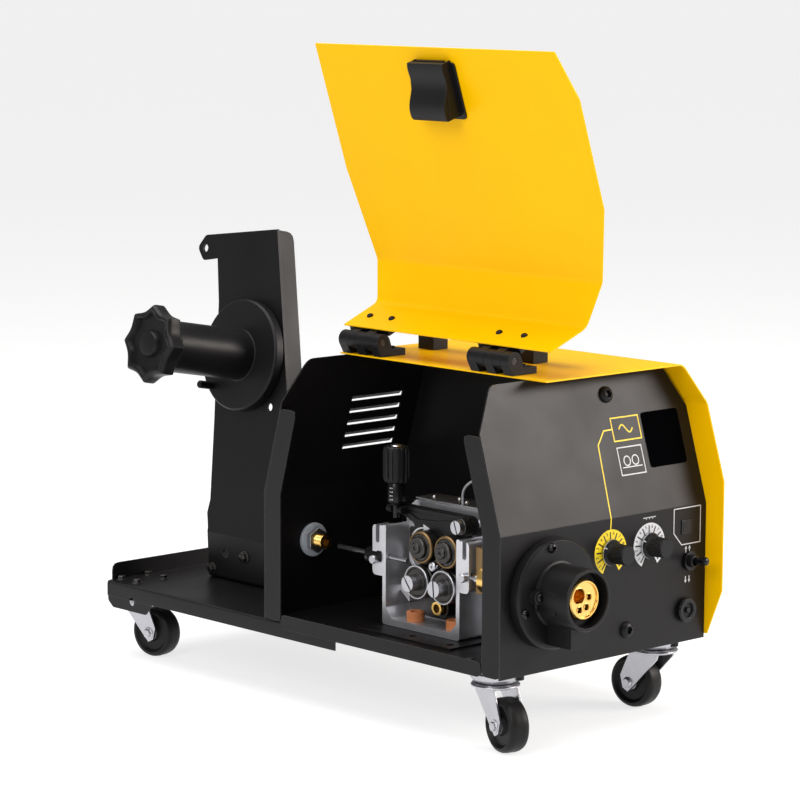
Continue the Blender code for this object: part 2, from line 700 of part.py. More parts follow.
def hub_brake_spring():
    turns = 4
    points_per_turn = 10
    count = turns * points_per_turn
    curve = bpy.data.curves.new("hub_brake_spring", "CURVE")
    curve.dimensions = "3D"
    curve.bevel_depth = 1.3 * MM
    curve.bevel_resolution = 2
    curve.use_fill_caps = True
    spline = curve.splines.new("POLY")
    spline.points.add(count)
    for i, point in enumerate(spline.points):
        angle = 2 * pi * i / points_per_turn
        height = 21 + (MANDREL_END - 32) * i / count
        point.co = (14 * cos(angle) * MM, 14 * sin(angle) * MM, height * MM, 1)
    mesh = baked(bpy.data.objects.new("hub_brake_spring", curve))
    finish_object("hub_brake_spring", mesh, along(HUB_ORIGIN, HUB_AXIS), None, ZINC_STEEL, False)


# ---------------------------------------------------------------- casters

def caster(where):
    x, y, heading = CASTERS[where]
    swivel = pivot(f"caster_{where}_swivel", (x, y, 0), BODY, Matrix.Rotation(radians(heading), 3, "Z"))
    axle_z = FLOOR_Z + WHEEL_R
    race_z = -10.5
    crown_z = race_z - GAP
    crown_low = crown_z - 2.5

    base = block(f"caster_{where}_plate", (x - 25, y - 22, CASTER_TOP_Z - 2.5), (x + 25, y + 22, CASTER_TOP_Z),
                 ZINC_STEEL)
    race = [(0, CASTER_TOP_Z - 1), (20, CASTER_TOP_Z - 1), (18, race_z), (4, race_z),
            (4, crown_low - 2), (0, crown_low - 2)]
    join(base, turned(f"caster_{where}_race", race, Matrix.Translation((x, y, 0)), cutter=True, steps=16))

    crown = turned(f"caster_{where}_fork", [(21, crown_z), (21, crown_low), (4.4, crown_low), (4.4, crown_z)],
                   Matrix.Identity(4), ZINC_STEEL, swivel, steps=16, ring=True)
    arm = [(-15, crown_z - 0.4), (17, crown_z - 0.4), (CASTER_TRAIL + 9, axle_z + 6), (CASTER_TRAIL + 6, axle_z - 6),
           (CASTER_TRAIL, axle_z - 9), (CASTER_TRAIL - 9, axle_z), (-13, crown_low - 6)]
    for side in (-1, 1):
        offset = side * (WHEEL_HALF + 2.2)
        join(crown, plate(f"{crown.name}_arm_{side}", [arm], 2.2, axes((0, offset, 0), X_AXIS, Z_AXIS),
                          parent=swivel, cutter=True))
    axle_half = WHEEL_HALF + 6.5
    join(crown, rod(f"{crown.name}_axle", (CASTER_TRAIL, -axle_half, axle_z), (CASTER_TRAIL, axle_half, axle_z),
                    3.6, parent=swivel, cutter=True, sides=10))

    tyre = [(21, WHEEL_HALF), (WHEEL_R - 1, WHEEL_HALF - 2), (WHEEL_R, WHEEL_HALF - 5)]
    bore = [(4.0, -WHEEL_HALF), (4.0, WHEEL_HALF)]
    profile = tyre + [(r, -h) for r, h in reversed(tyre)] + bore
    turned(f"caster_{where}_wheel", profile, along((CASTER_TRAIL, 0, axle_z), Y_AXIS, Z_AXIS),
           WHEEL_RUBBER, swivel, steps=24, ring=True)


# ---------------------------------------------------------------- wire drive

def drive_casting():
    deck = block("drive_casting", (DRIVE_DECK_X, 97, DRIVE_BOTTOM_Z), (DRIVE_BACK_X, DRIVE_Y1, 126), CAST_METAL)
    front = DRIVE_FRONT_X
    inside = DRIVE_DECK_X + 5
    floor = block("drive_floor", (front, DRIVE_Y0, DRIVE_BOTTOM_Z + 0.1), (inside, DRIVE_Y1 - 0.1, 16), cutter=True)
    left = block("drive_wall_left", (front + 0.1, DRIVE_Y1 - DRIVE_WALL, DRIVE_BOTTOM_Z + 1),
                 (inside, DRIVE_Y1 - 0.2, WALL_TOP_Z), cutter=True)
    right = block("drive_wall_right", (front + 0.1, DRIVE_Y0 + 0.1, DRIVE_BOTTOM_Z + 1),
                  (inside, DRIVE_Y0 + DRIVE_WALL, WALL_TOP_Z), cutter=True)
    wing_left = block("drive_wing_left", (front + 0.2, DRIVE_Y1 - 3, 55), (-62, DRIVE_Y1 + 14, 103), cutter=True)
    wing_right = block("drive_wing_right", (front + 0.2, DRIVE_Y0 - 12, 55), (-62, DRIVE_Y0 + 3, 103), cutter=True)
    join(deck, floor, left, right, wing_left, wing_right)
    for name, y in (("left", DRIVE_Y1 + 7), ("right", DRIVE_Y0 - 6)):
        cut(deck, block(f"drive_slot_{name}", (-100, y - 2.5, 88), (-50, y + 2.5, 120), cutter=True))
    cut(deck, rod("drive_wire_bore", (WIRE_X, 80, WIRE_Z), (WIRE_X, 250, WIRE_Z), 2.8, cutter=True, sides=12))
    for y, z in FEED_ROLLS.values():
        cut(deck, rod(f"drive_shaft_bore_{y:.0f}", (DRIVE_DECK_X - 5, y, z), (DRIVE_DECK_X + 15, y, z), 5.4,
                      cutter=True, sides=16))
    return deck


def drive_mounting_plate():
    outline = rectangle(-105, 94, -14, 217)
    holes = [circle(-93, y, 4, 12) for y in (106, 156, 204)]
    return plate("drive_mounting_plate", [outline] + holes, 1.7, level_frame(8.15), PAINT_BLACK)


def drive_motor():
    profile = [(0, 118), (20, 118), (22, 112), (MOTOR_R, 110), (MOTOR_R, 22), (36, 20), (36, 0), (0, 0)]
    start = (DRIVE_BACK_X + GAP, MOTOR_Y, MOTOR_Z)
    return turned("drive_motor", profile, along(start, X_AXIS, Z_AXIS), PAINT_BLACK, steps=24)


def feed_rolls():
    shaft_end = DRIVE_DECK_X + 13
    front = WIRE_X - ROLL_HALF
    back = WIRE_X + ROLL_HALF
    length = shaft_end - front
    roll_length = back - front
    for where, (y, z) in FEED_ROLLS.items():
        groove = length - ROLL_HALF
        profile = [(0, length + 10), (7.8, length + 10), (7.8, length), (FEED_ROLL_R, length),
                   (FEED_ROLL_R, groove + 1.2), (FEED_ROLL_R - 1, groove), (FEED_ROLL_R, groove - 1.2),
                   (FEED_ROLL_R, length - roll_length), (5, length - roll_length), (5, 0), (0, 0)]
        turned(f"feed_roll_{where}", profile, along((shaft_end, y, z), -X_AXIS, Z_AXIS), ZINC_STEEL)


def pressure_arm():
    pivot_y, pivot_z = ARM_PIVOT
    hub_axis = pivot("pressure_arm_axis", (0, pivot_y, pivot_z), BODY)
    shape = [(104.5, 115), (107, 121.5), (113, 123.4), (150, 123.6), (206, 123.6), (206, 117), (184, 108),
             (176, 84), (164, 80), (150, 83), (136, 83), (128, 80), (116, 86), (115, 104.8), (107, 106)]
    shape = [(y - pivot_y, z - pivot_z) for y, z in filleted(shape, 6, steps=2)]
    bores = [circle(y - pivot_y, z - pivot_z, 4.3, 16) for y, z in PRESSURE_ROLLS.values()]
    bores.append(circle(0, 0, 4.5, 16))
    middle_x = (ARM_X0 + ARM_X1) / 2
    arm = plate("pressure_arm", [shape] + bores, ARM_X1 - ARM_X0,
                axes((middle_x, 0, 0), Y_AXIS, Z_AXIS), BLACK_PLASTIC, hub_axis)
    arm_y = TENSION_Y - pivot_y
    swing_z = TENSION_PIVOT_Z - pivot_z
    turns = [pi * (0.5 + i / 8) for i in range(9)]
    yoke = [(WIRE_X + YOKE_R * cos(turn), swing_z + YOKE_R * sin(turn)) for turn in turns]
    yoke += [(ARM_X0 + 3, swing_z - YOKE_R), (ARM_X0 + 3, swing_z + YOKE_R)]
    join(arm, plate("pressure_arm_yoke", [yoke], 20, axes((0, arm_y, 0), X_AXIS, Z_AXIS), parent=hub_axis,
                    cutter=True))
    cut(arm, block("pressure_arm_slot", (WIRE_X - 10, arm_y - 3.6, -12), (ARM_X0 - 0.2, arm_y + 3.6, 16),
                   parent=hub_axis, cutter=True))

    screw = [(0, 24), (5.5, 24), (6.5, 23), (6.5, 18.4), (4.1, 18.4), (4.1, 0), (0, 0)]
    turned("arm_pivot_screw", screw, along((DRIVE_DECK_X - GAP, pivot_y, pivot_z), -X_AXIS, Z_AXIS), ZINC_STEEL,
           steps=16)

    for where, (y, z) in PRESSURE_ROLLS.items():
        front = WIRE_X - ROLL_HALF
        length = ARM_X1 - 0.5 - front
        profile = [(0, length + 3), (6, length + 3), (6, length), (PRESSURE_ROLL_R, length),
                   (PRESSURE_ROLL_R, length - 14), (4, length - 14), (4, 0), (0, 0)]
        turned(f"pressure_roll_{where}", profile,
               along((ARM_X1 - 0.5, y - pivot_y, z - pivot_z), -X_AXIS, Z_AXIS), ZINC_STEEL, hub_axis)

    unit = pivot("tension_axis", (WIRE_X, arm_y, swing_z), hub_axis)
    seat = YOKE_R + GAP
    stem = [(0, 24), (3, 24), (3, 21.5), (8.5, 21.5), (8.5, seat), (3, seat), (3, -8), (0, -8)]
    turned("tension_stem", stem, Matrix.Identity(4), BLACK_PLASTIC, unit, steps=16)
    outline = []
    for i in range(48):
        angle = 2 * pi * i / 48
        radius = 11.6 + (0.5 if i % 4 < 2 else -0.5)
        outline.append((radius * cos(angle), radius * sin(angle)))
    knob = plate("tension_knob", [outline], 38, Matrix.Translation((0, 0, 22 + 19)), BLACK_PLASTIC, unit)
    cut(knob, rod("tension_knob_bore", (0, 0, 10), (0, 0, 26), 3.4, parent=unit, cutter=True, sides=16))


def wire_guides():
    tube = [(2.3, 96), (2.3, 0), (1.0, 0), (1.0, 96)]
    turned("wire_inlet_tube", tube, along((WIRE_X, 184, WIRE_Z), Y_AXIS, Z_AXIS), ZINC_STEEL,
           steps=10, ring=True)
    guide = [(2.6, 8), (2.6, 0), (1.0, 0), (1.0, 8)]
    middle = turned("wire_guide_middle", guide, along((WIRE_X, 141.5, WIRE_Z), Y_AXIS, Z_AXIS), ZINC_STEEL,
                    steps=10, ring=True)
    join(middle, block("wire_guide_post", (WIRE_X + 1.6, 144, WIRE_Z - 1.8),
                       (DRIVE_DECK_X - GAP, 148, WIRE_Z + 1.8), cutter=True))

    x, z = INLET
    fitting = [(8, 12), (8, -1.8), (16.4, -1.8), (16.4, -5), (11, -5), (11, -11), (6, -12.5), (6, -21), (3.8, -21),
               (3.8, 12)]
    turned("wire_inlet_fitting", fitting, along((x, REAR_Y, z), Y_AXIS, Z_AXIS), BRASS_METAL,
           steps=16, ring=True)


# ---------------------------------------------------------------- panel fittings

def torch_socket():
    x, z = SOCKET
    bore = INSERT_R + GAP
    profile = [(SLEEVE_R, 48), (SLEEVE_R, 11), (SOCKET_FLANGE_R - 3, 11), (SOCKET_FLANGE_R, 8),
               (SOCKET_FLANGE_R, GAP), (bore, GAP), (bore, 48)]
    frame = along((x, 0, z), -Y_AXIS, Z_AXIS)
    housing = turned("torch_socket_housing", profile, frame, BLACK_PLASTIC, steps=32, ring=True)
    join(housing, block("torch_socket_skirt", (x - 13, -40, z - 44), (x + 9, -5, z - 22), cutter=True),
         block("torch_socket_boss", (x - 27.5, -34, z - 12), (x - 20, -6, z + 8), cutter=True))
    cut(housing, rod("torch_sleeve_recess", (x, -60, z), (x, -35, z), SLEEVE_R - 2.2, cutter=True, sides=32))

    nose_tip = -(DRIVE_Y0 - 12.5)
    insert = [(0, 44), (INSERT_R, 44), (INSERT_R, -6), (13, -6), (13, -80), (2.4, -80),
              (2.4, nose_tip), (0, nose_tip)]
    brass = turned("torch_socket_insert", insert, frame, BRASS_METAL, steps=24)
    pins = [(-6.5, 5.5, 4.6), (7.5, 6, 2.3), (9.5, -3, 2.3), (3.5, -9.5, 2.3)]
    for i, (dx, dz, radius) in enumerate(pins):
        cut(brass, rod(f"torch_pin_hole_{i}", (x + dx, -60, z + dz), (x + dx, -26, z + dz), radius,
                       cutter=True, sides=10))


def dials():
    for name, (x, z) in DIALS.items():
        profile = [(0, 22.5), (8.5, 22.5), (9.6, 4), (12, 4), (12, 1.2), (3, 1.2), (3, -22), (0, -22)]
        turned(name, profile, along((x, 0, z), -Y_AXIS, Z_AXIS), BLACK_PLASTIC)


def toggle_switch():
    x, z = TOGGLE
    frame = along((x, 0, z), -Y_AXIS, Z_AXIS)
    bush = [(4.2, 8), (5.8, 7), (5.8, 3), (9, 3), (9, GAP), (5.8, GAP), (5.8, -4), (4.2, -4)]
    body = turned("toggle_switch_body", bush, frame, BLACK_PLASTIC, steps=14, ring=True)
    join(body, block("toggle_case", (x - 8, 3, z - 12), (x + 8, 24, z + 12), cutter=True))
    lever = [(0, 20), (2.4, 19), (3, 17), (1.7, 6), (1.7, -1), (0, -1.6)]
    tilt = Matrix.Rotation(radians(-6), 4, "X")
    swing = pivot("toggle_axis", (x, -2, z), BODY)
    lever_frame = tilt @ along((0, 0, 0), -Y_AXIS, Z_AXIS)
    turned("toggle_lever", lever, lever_frame, ZINC_STEEL, swing, steps=12)


def panel_items():
    lean = Vector((0, FRONT_LEAN, 1)).normalized()
    x0, z0, x1, z1 = WINDOW
    middle_z = (z0 + z1) / 2
    surface = Vector(((x0 + x1) / 2, FRONT_LEAN * (middle_z - BEND_Z), middle_z))
    frame = axes(surface, X_AXIS, lean)
    frame.translation += frame.col[2].to_3d() * (GAP + 0.6)
    height = (z1 - z0) / lean.z
    outline = filleted(rectangle(-(x1 - x0) / 2, -height / 2, (x1 - x0) / 2, height / 2), 3, steps=2)
    plate("display_window", [outline], 1.2, frame, SMOKED)

    x, z = FRONT_SOCKET
    profile = [(0, 3), (7, 3), (7, 4.5), (10, 4.5), (11, 3.5), (11, GAP), (8.9, GAP), (8.9, -14), (0, -14)]
    turned("front_control_socket", profile, along((x, 0, z), -Y_AXIS, Z_AXIS), BLACK_PLASTIC, steps=16)

    board = block("control_board", (50, 34, 60), (128, 35.6, 150), BOARD_GREEN)
    join(board, block("board_heatsink", (60, 35, 100), (118, 58, 128), cutter=True),
         block("board_capacitor", (64, 35, 68), (86, 62, 90), cutter=True))


def rear_items():
    back = REAR_Y
    x, z = CURRENT_CONNECTOR
    profile = [(0, 30), (8, 30), (8, 6), (17, 6), (17, GAP), (14, GAP), (14, -18), (0, -18)]
    turned("current_connector", profile, along((x, back, z), Y_AXIS, Z_AXIS), BRASS_METAL, steps=16)
    x, z = CONTROL_SOCKET
    profile = [(0, 4), (9, 4), (9, 12), (12, 12), (12, 5), (16, 5), (16, GAP), (12, GAP), (12, -12), (0, -12)]
    turned("rear_control_socket", profile, along((x, back, z), Y_AXIS, Z_AXIS), ZINC_STEEL, steps=16)
    x, z = GAS_INLET
    profile = [(0, 26), (3, 26), (4.2, 22), (3, 20), (3, 8), (9, 8), (9, GAP), (5, GAP), (5, -14), (0, -14)]
    turned("gas_inlet_nipple", profile, along((x, back, z), Y_AXIS, Z_AXIS), BRASS_METAL, steps=12)


# ---------------------------------------------------------------- assembly

def build():
    base_pan()
    front_panel()
    rear_panel()
    inner_partition()
    hood()
    door_panel()
    for where in HINGE_Y:
        hinge(where)
    latch()
    carrying_handle()
    rear_tray()
    spool_bracket()
    hub()
    hub_brake_spring()
    for where in CASTERS:
        caster(where)
    drive_casting()
    drive_mounting_plate()
    drive_motor()
    feed_rolls()
    pressure_arm()
    wire_guides()
    torch_socket()
    dials()
    toggle_switch()
    panel_items()
    rear_items()


build()
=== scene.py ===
"""Looks for the wire feeder: materials, fine detail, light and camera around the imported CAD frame.

Places are in millimetres in the feeder's own frame (X to the right, Y to the rear, Z up, zero on
the front panel's lower edge), and SHIFT takes them to the row frame. Pieces on the door are placed
for the closed door, and DOOR_BASE opens them.
"""
import json
from math import cos, pi, radians, sin, tan

import bmesh
import bpy
from mathutils import Matrix, Vector


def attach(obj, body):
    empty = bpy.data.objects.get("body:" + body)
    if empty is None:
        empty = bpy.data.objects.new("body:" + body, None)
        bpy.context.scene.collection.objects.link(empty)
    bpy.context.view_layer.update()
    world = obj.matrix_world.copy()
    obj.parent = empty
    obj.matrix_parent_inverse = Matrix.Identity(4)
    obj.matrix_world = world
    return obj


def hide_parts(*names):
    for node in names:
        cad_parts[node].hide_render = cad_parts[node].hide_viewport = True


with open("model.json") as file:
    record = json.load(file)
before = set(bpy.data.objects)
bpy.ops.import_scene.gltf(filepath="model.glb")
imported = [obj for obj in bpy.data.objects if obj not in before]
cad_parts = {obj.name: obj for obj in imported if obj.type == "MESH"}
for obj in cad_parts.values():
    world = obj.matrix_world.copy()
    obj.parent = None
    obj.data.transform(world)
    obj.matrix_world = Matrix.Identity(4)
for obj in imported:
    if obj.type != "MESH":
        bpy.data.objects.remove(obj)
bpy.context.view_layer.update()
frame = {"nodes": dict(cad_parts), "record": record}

MM = 0.001
SHIFT = Vector((5.47, -269.36, 71.0))
X = Vector((1, 0, 0))
Y = Vector((0, 1, 0))
Z = Vector((0, 0, 1))
SIDEWAYS = Matrix(((0, 0, 1, 0), (1, 0, 0, 0), (0, 1, 0, 0), (0, 0, 0, 1)))
SHARP = radians(38)
HINGE = Vector((-62.0, 0, 272.0))
DOOR_OPEN = radians(161.4)
BASE = Matrix.Translation(SHIFT * MM)
DOOR_BASE = (BASE @ Matrix.Translation(HINGE * MM) @ Matrix.Rotation(DOOR_OPEN, 4, "Y")
             @ Matrix.Translation(-HINGE * MM))
SIDE_X = 136.65
BEND_Z = 128.2
LEAN = 0.304
REAR_Y = 318.5
REAR_LEAN = 0.279
DIALS = {"speed": 5.6, "voltage": 57.2}
DIAL_Z = 97.4
TORCH = (-73.2, 71.2)
TORCH_HOLES = [(-6.6, 4.0, 7.0), (6.2, 1.6, 2.9), (3.2, -7.2, 2.9), (-5.6, -8.8, 2.9)]
TOGGLE = (112.8, 76.0)
WIRE_X, WIRE_Z = -74, 73.1
TILT = radians(10.2)
CAMERA_PLACE = (-2.02793, -2.17756, 0.7060)
CAMERA_LENS = 140.8
HUB_AXIS = Vector((-cos(TILT), 0, sin(TILT)))
HUB = Vector((-44.0 + (231.0 - 51.5) * tan(TILT), 488.0, 231.0))
CASTERS = {
    "front_left": (-105.0, 35.0, -104.0),
    "front_right": (105.0, 35.0, 94.0),
    "rear_left": (-103.0, 548.0, -80.0),
    "rear_right": (103.0, 548.0, -97.0),
}


def shown(name, data):
    """A new object in the scene."""
    made = bpy.data.objects.new(name, data)
    bpy.context.scene.collection.objects.link(made)
    return made


# ---------------------------------------------------------------- camera, light and floor

def camera():
    azimuth, elevation, roll = radians(-42.97), radians(8.15), radians(0.245)
    back = Vector((sin(azimuth) * cos(elevation), -cos(azimuth) * cos(elevation), sin(elevation)))
    side = Vector((cos(azimuth), sin(azimuth), 0))
    up = back.cross(side)
    right = side * cos(roll) + up * sin(roll)
    data = bpy.data.cameras.new("camera")
    data.sensor_width = 36
    data.lens = CAMERA_LENS
    data.clip_end = 300
    made = shown("camera", data)
    turn = Matrix((right, back.cross(right), back)).transposed().to_4x4()
    made.matrix_world = Matrix.Translation(CAMERA_PLACE) @ turn
    bpy.context.scene.camera = made


def softbox(name, place, target, size, energy, colour=(1, 1, 1)):
    data = bpy.data.lights.new(name, "AREA")
    data.shape = "RECTANGLE"
    data.size, data.size_y = size
    data.energy = energy
    data.color = colour
    made = shown(name, data)
    made.location = place
    made.rotation_euler = (Vector(place) - Vector(target)).to_track_quat("Z", "Y").to_euler()


def studio():
    bpy.context.scene.view_settings.view_transform = "Standard"
    world = bpy.data.worlds.new("studio")
    bpy.context.scene.world = world
    world.use_nodes = True
    sky = world.node_tree.nodes["Background"].inputs
    sky["Color"].default_value = (1, 1, 1, 1)
    sky["Strength"].default_value = 0.30
    softbox("overhead_light", (-0.2, 0.1, 2.4), (0, 0, 0.2), (2.6, 2.0), 62)
    softbox("left_light", (-2.5, -0.9, 1.7), (0, 0.1, 0.25), (1.4, 1.4), 31)
    softbox("front_light", (2.0, -2.2, 1.25), (0, -0.2, 0.25), (1.6, 1.0), 66, (1.0, 0.93, 0.88))

    work = bmesh.new()
    bmesh.ops.create_grid(work, x_segments=2, y_segments=2, size=100)
    mesh = bpy.data.meshes.new("studio_floor")
    work.to_mesh(mesh)
    work.free()
    floor = shown("studio_floor", mesh)
    paint = bpy.data.materials.new("studio_floor")
    paint.use_nodes = True
    shader = paint.node_tree.nodes["Principled BSDF"].inputs
    shader["Base Color"].default_value = (0.38, 0.38, 0.38, 1)
    shader["Roughness"].default_value = 0.9
    shader["Emission Color"].default_value = (1, 1, 1, 1)
    shader["Emission Strength"].default_value = 0.74
    mesh.materials.append(paint)


# ---------------------------------------------------------------- materials

ROUGH_SWING = 0.08


def surface(name, colour, rough, metal=0.0, tone=0.12, patch=18.0, grain=900.0, bump=0.15,
            depth=0.00005, edge_wear_and_highlight=None, specular=0.5):
    """A finish: patchy tone, uneven gloss, a fine grain and, on edges, a lighter colour that is partly wear
    and partly a painted highlight.
    """
    made = bpy.data.materials.new(name)
    made.use_nodes = True
    tree = made.node_tree
    shader = tree.nodes["Principled BSDF"]
    shader.inputs["Metallic"].default_value = metal
    shader.inputs["Specular IOR Level"].default_value = specular

    def node(kind, **values):
        new = tree.nodes.new(kind)
        for key, value in values.items():
            if hasattr(new, key):
                setattr(new, key, value)
            else:
                new.inputs[key.replace("_", " ")].default_value = value
        return new

    def link(source, out, target, into):
        tree.links.new(source.outputs[out], target.inputs[into])

    place = node("ShaderNodeTexCoord")
    broad = node("ShaderNodeTexNoise", Scale=patch, Detail=4.0)
    link(place, "Object", broad, "Vector")
    fine = node("ShaderNodeTexNoise", Scale=grain, Detail=3.0)
    link(place, "Object", fine, "Vector")

    tint = node("ShaderNodeMix", data_type="RGBA")
    tint.inputs[6].default_value = [c * (1 - tone) for c in colour] + [1]
    tint.inputs[7].default_value = [min(c * (1 + tone), 1) for c in colour] + [1]
    link(broad, "Fac", tint, 0)

    both = node("ShaderNodeMath", operation="ADD")
    link(broad, "Fac", both, 0)
    link(fine, "Fac", both, 1)
    half = node("ShaderNodeMath", operation="MULTIPLY")
    half.inputs[1].default_value = 0.5
    link(both, 0, half, 0)
    gloss = node("ShaderNodeMapRange", From_Min=0.3, From_Max=0.7, To_Min=max(rough - ROUGH_SWING, 0.02),
                 To_Max=min(rough + ROUGH_SWING, 1))
    link(half, 0, gloss, "Value")
    link(gloss, "Result", shader, "Roughness")

    relief = node("ShaderNodeBump", Strength=bump, Distance=depth)
    link(fine, "Fac", relief, "Height")
    link(relief, "Normal", shader, "Normal")
    if not edge_wear_and_highlight:
        link(tint, 2, shader, "Base Color")
        return made

    # Edges are lightened towards the given colour: partly wear, partly a painted highlight for light catching
    # the edges.
    edge_wear_highlight_colour, amount = edge_wear_and_highlight
    softened = node("ShaderNodeBevel", samples=4, Radius=0.0007)
    plain = node("ShaderNodeNewGeometry")
    turn = node("ShaderNodeVectorMath", operation="DOT_PRODUCT")
    link(softened, "Normal", turn, 0)
    link(plain, "Normal", turn, 1)
    edge = node("ShaderNodeMapRange", From_Min=0.995, From_Max=0.9, To_Min=0.0, To_Max=amount)
    link(turn, "Value", edge, "Value")
    edge_patch_noise = node("ShaderNodeTexNoise", Scale=240.0, Detail=2.0)
    link(place, "Object", edge_patch_noise, "Vector")
    patchy = node("ShaderNodeMath", operation="MULTIPLY")
    link(edge, "Result", patchy, 0)
    link(edge_patch_noise, "Fac", patchy, 1)
    blend = node("ShaderNodeMix", data_type="RGBA")
    blend.inputs[7].default_value = (*edge_wear_highlight_colour, 1)
    link(patchy, 0, blend, 0)
    link(tint, 2, blend, 6)
    link(blend, 2, shader, "Base Color")
    return made


YELLOW = surface("yellow_powder_coat", (0.93, 0.51, 0.0), 0.36, tone=0.035, grain=1400, bump=0.10,
                 edge_wear_and_highlight=((1.0, 0.72, 0.12), 0.5), specular=0.08)
# The black coat's lighter edges are partly wear and partly a painted highlight for the bright edge lines.
BLACK = surface("black_powder_coat", (0.0055, 0.0048, 0.0056), 0.40, tone=0.18, grain=1600, bump=0.16,
                edge_wear_and_highlight=((0.16, 0.155, 0.155), 0.75), specular=0.23)
PLASTIC = surface("black_moulded_plastic", (0.0055, 0.0052, 0.006), 0.42, tone=0.15, grain=2200, bump=0.22,
                  edge_wear_and_highlight=((0.07, 0.07, 0.072), 0.5), specular=0.24)
GLOSSY = surface("black_gloss_plastic", (0.005, 0.005, 0.006), 0.22, tone=0.1, grain=1200, bump=0.06,
                 specular=0.3)
CAST = surface("cast_aluminium_skin", (0.66, 0.66, 0.69), 0.38, metal=0.85, tone=0.16, patch=60, grain=700,
               bump=0.5, depth=0.0001, edge_wear_and_highlight=((0.95, 0.95, 0.97), 1.0))
DARK_STEEL = surface("blackened_steel", (0.055, 0.052, 0.05), 0.32, metal=0.9, tone=0.3, patch=90,
                     grain=1500, bump=0.15, edge_wear_and_highlight=((0.5, 0.49, 0.47), 0.8))
ZINC = surface("zinc_plate", (0.50, 0.50, 0.53), 0.31, metal=1.0, tone=0.14, patch=70, grain=1100, bump=0.18,
               edge_wear_and_highlight=((0.9, 0.9, 0.92), 0.5))
DULL_BRASS = surface("dull_brass", (0.24, 0.155, 0.07), 0.42, metal=0.9, tone=0.2, patch=90, grain=1200,
                     bump=0.2)
BRASS = surface("machined_brass", (0.86, 0.56, 0.17), 0.25, metal=1.0, tone=0.12, patch=80, grain=1500,
                bump=0.1)
RUBBER = surface("wheel_polymer", (0.009, 0.0085, 0.0085), 0.42, tone=0.25, patch=50, grain=900, bump=0.3,
                 edge_wear_and_highlight=((0.06, 0.055, 0.05), 0.5), specular=0.2)
GREY = surface("grey_nylon", (0.40, 0.43, 0.47), 0.45, tone=0.08, patch=80, grain=1200, bump=0.15)
ORANGE = surface("orange_insulator", (0.62, 0.21, 0.075), 0.5, tone=0.2, patch=200, grain=1500, bump=0.3)
GREEN = surface("board_mask", (0.02, 0.16, 0.07), 0.4, tone=0.2, patch=90, grain=700, bump=0.2)
SMOKED = surface("smoked_window", (0.0012, 0.0012, 0.0016), 0.3, tone=0.1, grain=400, bump=0.02,
                 specular=0.0)
PRINT_WHITE = surface("white_print", (0.62, 0.62, 0.64), 0.5, tone=0.06, patch=200, grain=1800, bump=0.1)
PRINT_YELLOW = surface("yellow_print", (0.90, 0.66, 0.008), 0.5, tone=0.06, patch=200, grain=1800, bump=0.1)
PRINT_BLACK = surface("black_print", (0.008, 0.008, 0.008), 0.5, tone=0.1, patch=200, grain=1800, bump=0.1)
# Near-black painted shade, standing in for the darkness inside recesses and openings.
PAINTED_VOID_SHADE = surface("painted_recess_shade", (0.003, 0.003, 0.003), 0.7, tone=0.1)
CABLE_GREY = surface("grey_lead", (0.30, 0.31, 0.33), 0.5, tone=0.1, patch=90, grain=900, bump=0.2)

SLOT_LOOKS = {
    "yellow_paint": YELLOW, "black_paint": BLACK, "black_plastic": PLASTIC, "cast_aluminium": CAST,
    "zinc_steel": ZINC, "brass": BRASS, "wheel_rubber": RUBBER, "smoked_plastic": SMOKED,
    "circuit_board": GREEN,
}
FINE_NODES = ("arm_pivot_screw", "hinge_pin", "toggle_lever", "wire_", "hub_brake_spring", "control_board")


def finish_cad_nodes():
    """Each CAD node takes its slot's finish, smooth rounds and softened edges."""
    slots = {part["node"]: part["material_slot"] for part in frame["record"]["subparts"]}
    for name, obj in frame["nodes"].items():
        mesh = obj.data
        mesh.materials.clear()
        mesh.materials.append(DARK_STEEL if name.startswith("hinge_pin") else SLOT_LOOKS[slots[name]])
        for layer in ("custom_normal", "sharp_face", "sharp_edge"):
            if layer in mesh.attributes:
                mesh.attributes.remove(mesh.attributes[layer])
        mesh.polygons.foreach_set("use_smooth", [True] * len(mesh.polygons))
        weld = obj.modifiers.new("weld", "WELD")
        weld.merge_threshold = 0.00001
        flat = obj.modifiers.new("flats", "DECIMATE")
        flat.decimate_type = "DISSOLVE"
        flat.angle_limit = radians(0.6)
        soften(obj, 0.12 if name.startswith(FINE_NODES) else 0.35)


def soften(obj, width):
    edges = obj.modifiers.new("edges", "BEVEL")
    edges.width = width * MM
    edges.segments = 2
    edges.limit_method = "ANGLE"
    edges.angle_limit = SHARP
    weights = obj.modifiers.new("shading", "WEIGHTED_NORMAL")
    weights.keep_sharp = True


# ---------------------------------------------------------------- outlines and solids

def facing(origin, direction, up=Z, base=BASE):
    """A frame at origin whose local Z runs along direction, with local Y towards up."""
    w = Vector(direction).normalized()
    u = Vector(up).cross(w).normalized()
    made = Matrix((u, w.cross(u), w)).transposed().to_4x4()
    made.translation = Vector(origin) * MM
    return base @ made


def upward(x, y, z):
    """A frame that faces up, with local Y to the rear."""
    return facing((x, y, z), Z, up=Y)


def circle(radius, sides=48, u=0.0, v=0.0):
    return [(u + radius * cos(2 * pi * i / sides), v + radius * sin(2 * pi * i / sides))
            for i in range(sides)]


def hexagon(radius, start=0.0):
    return [(radius * cos(start + k * pi / 3), radius * sin(start + k * pi / 3)) for k in range(6)]


def rectangle(u0, v0, u1, v1):
    return [(u0, v0), (u1, v0), (u1, v1), (u0, v1)]


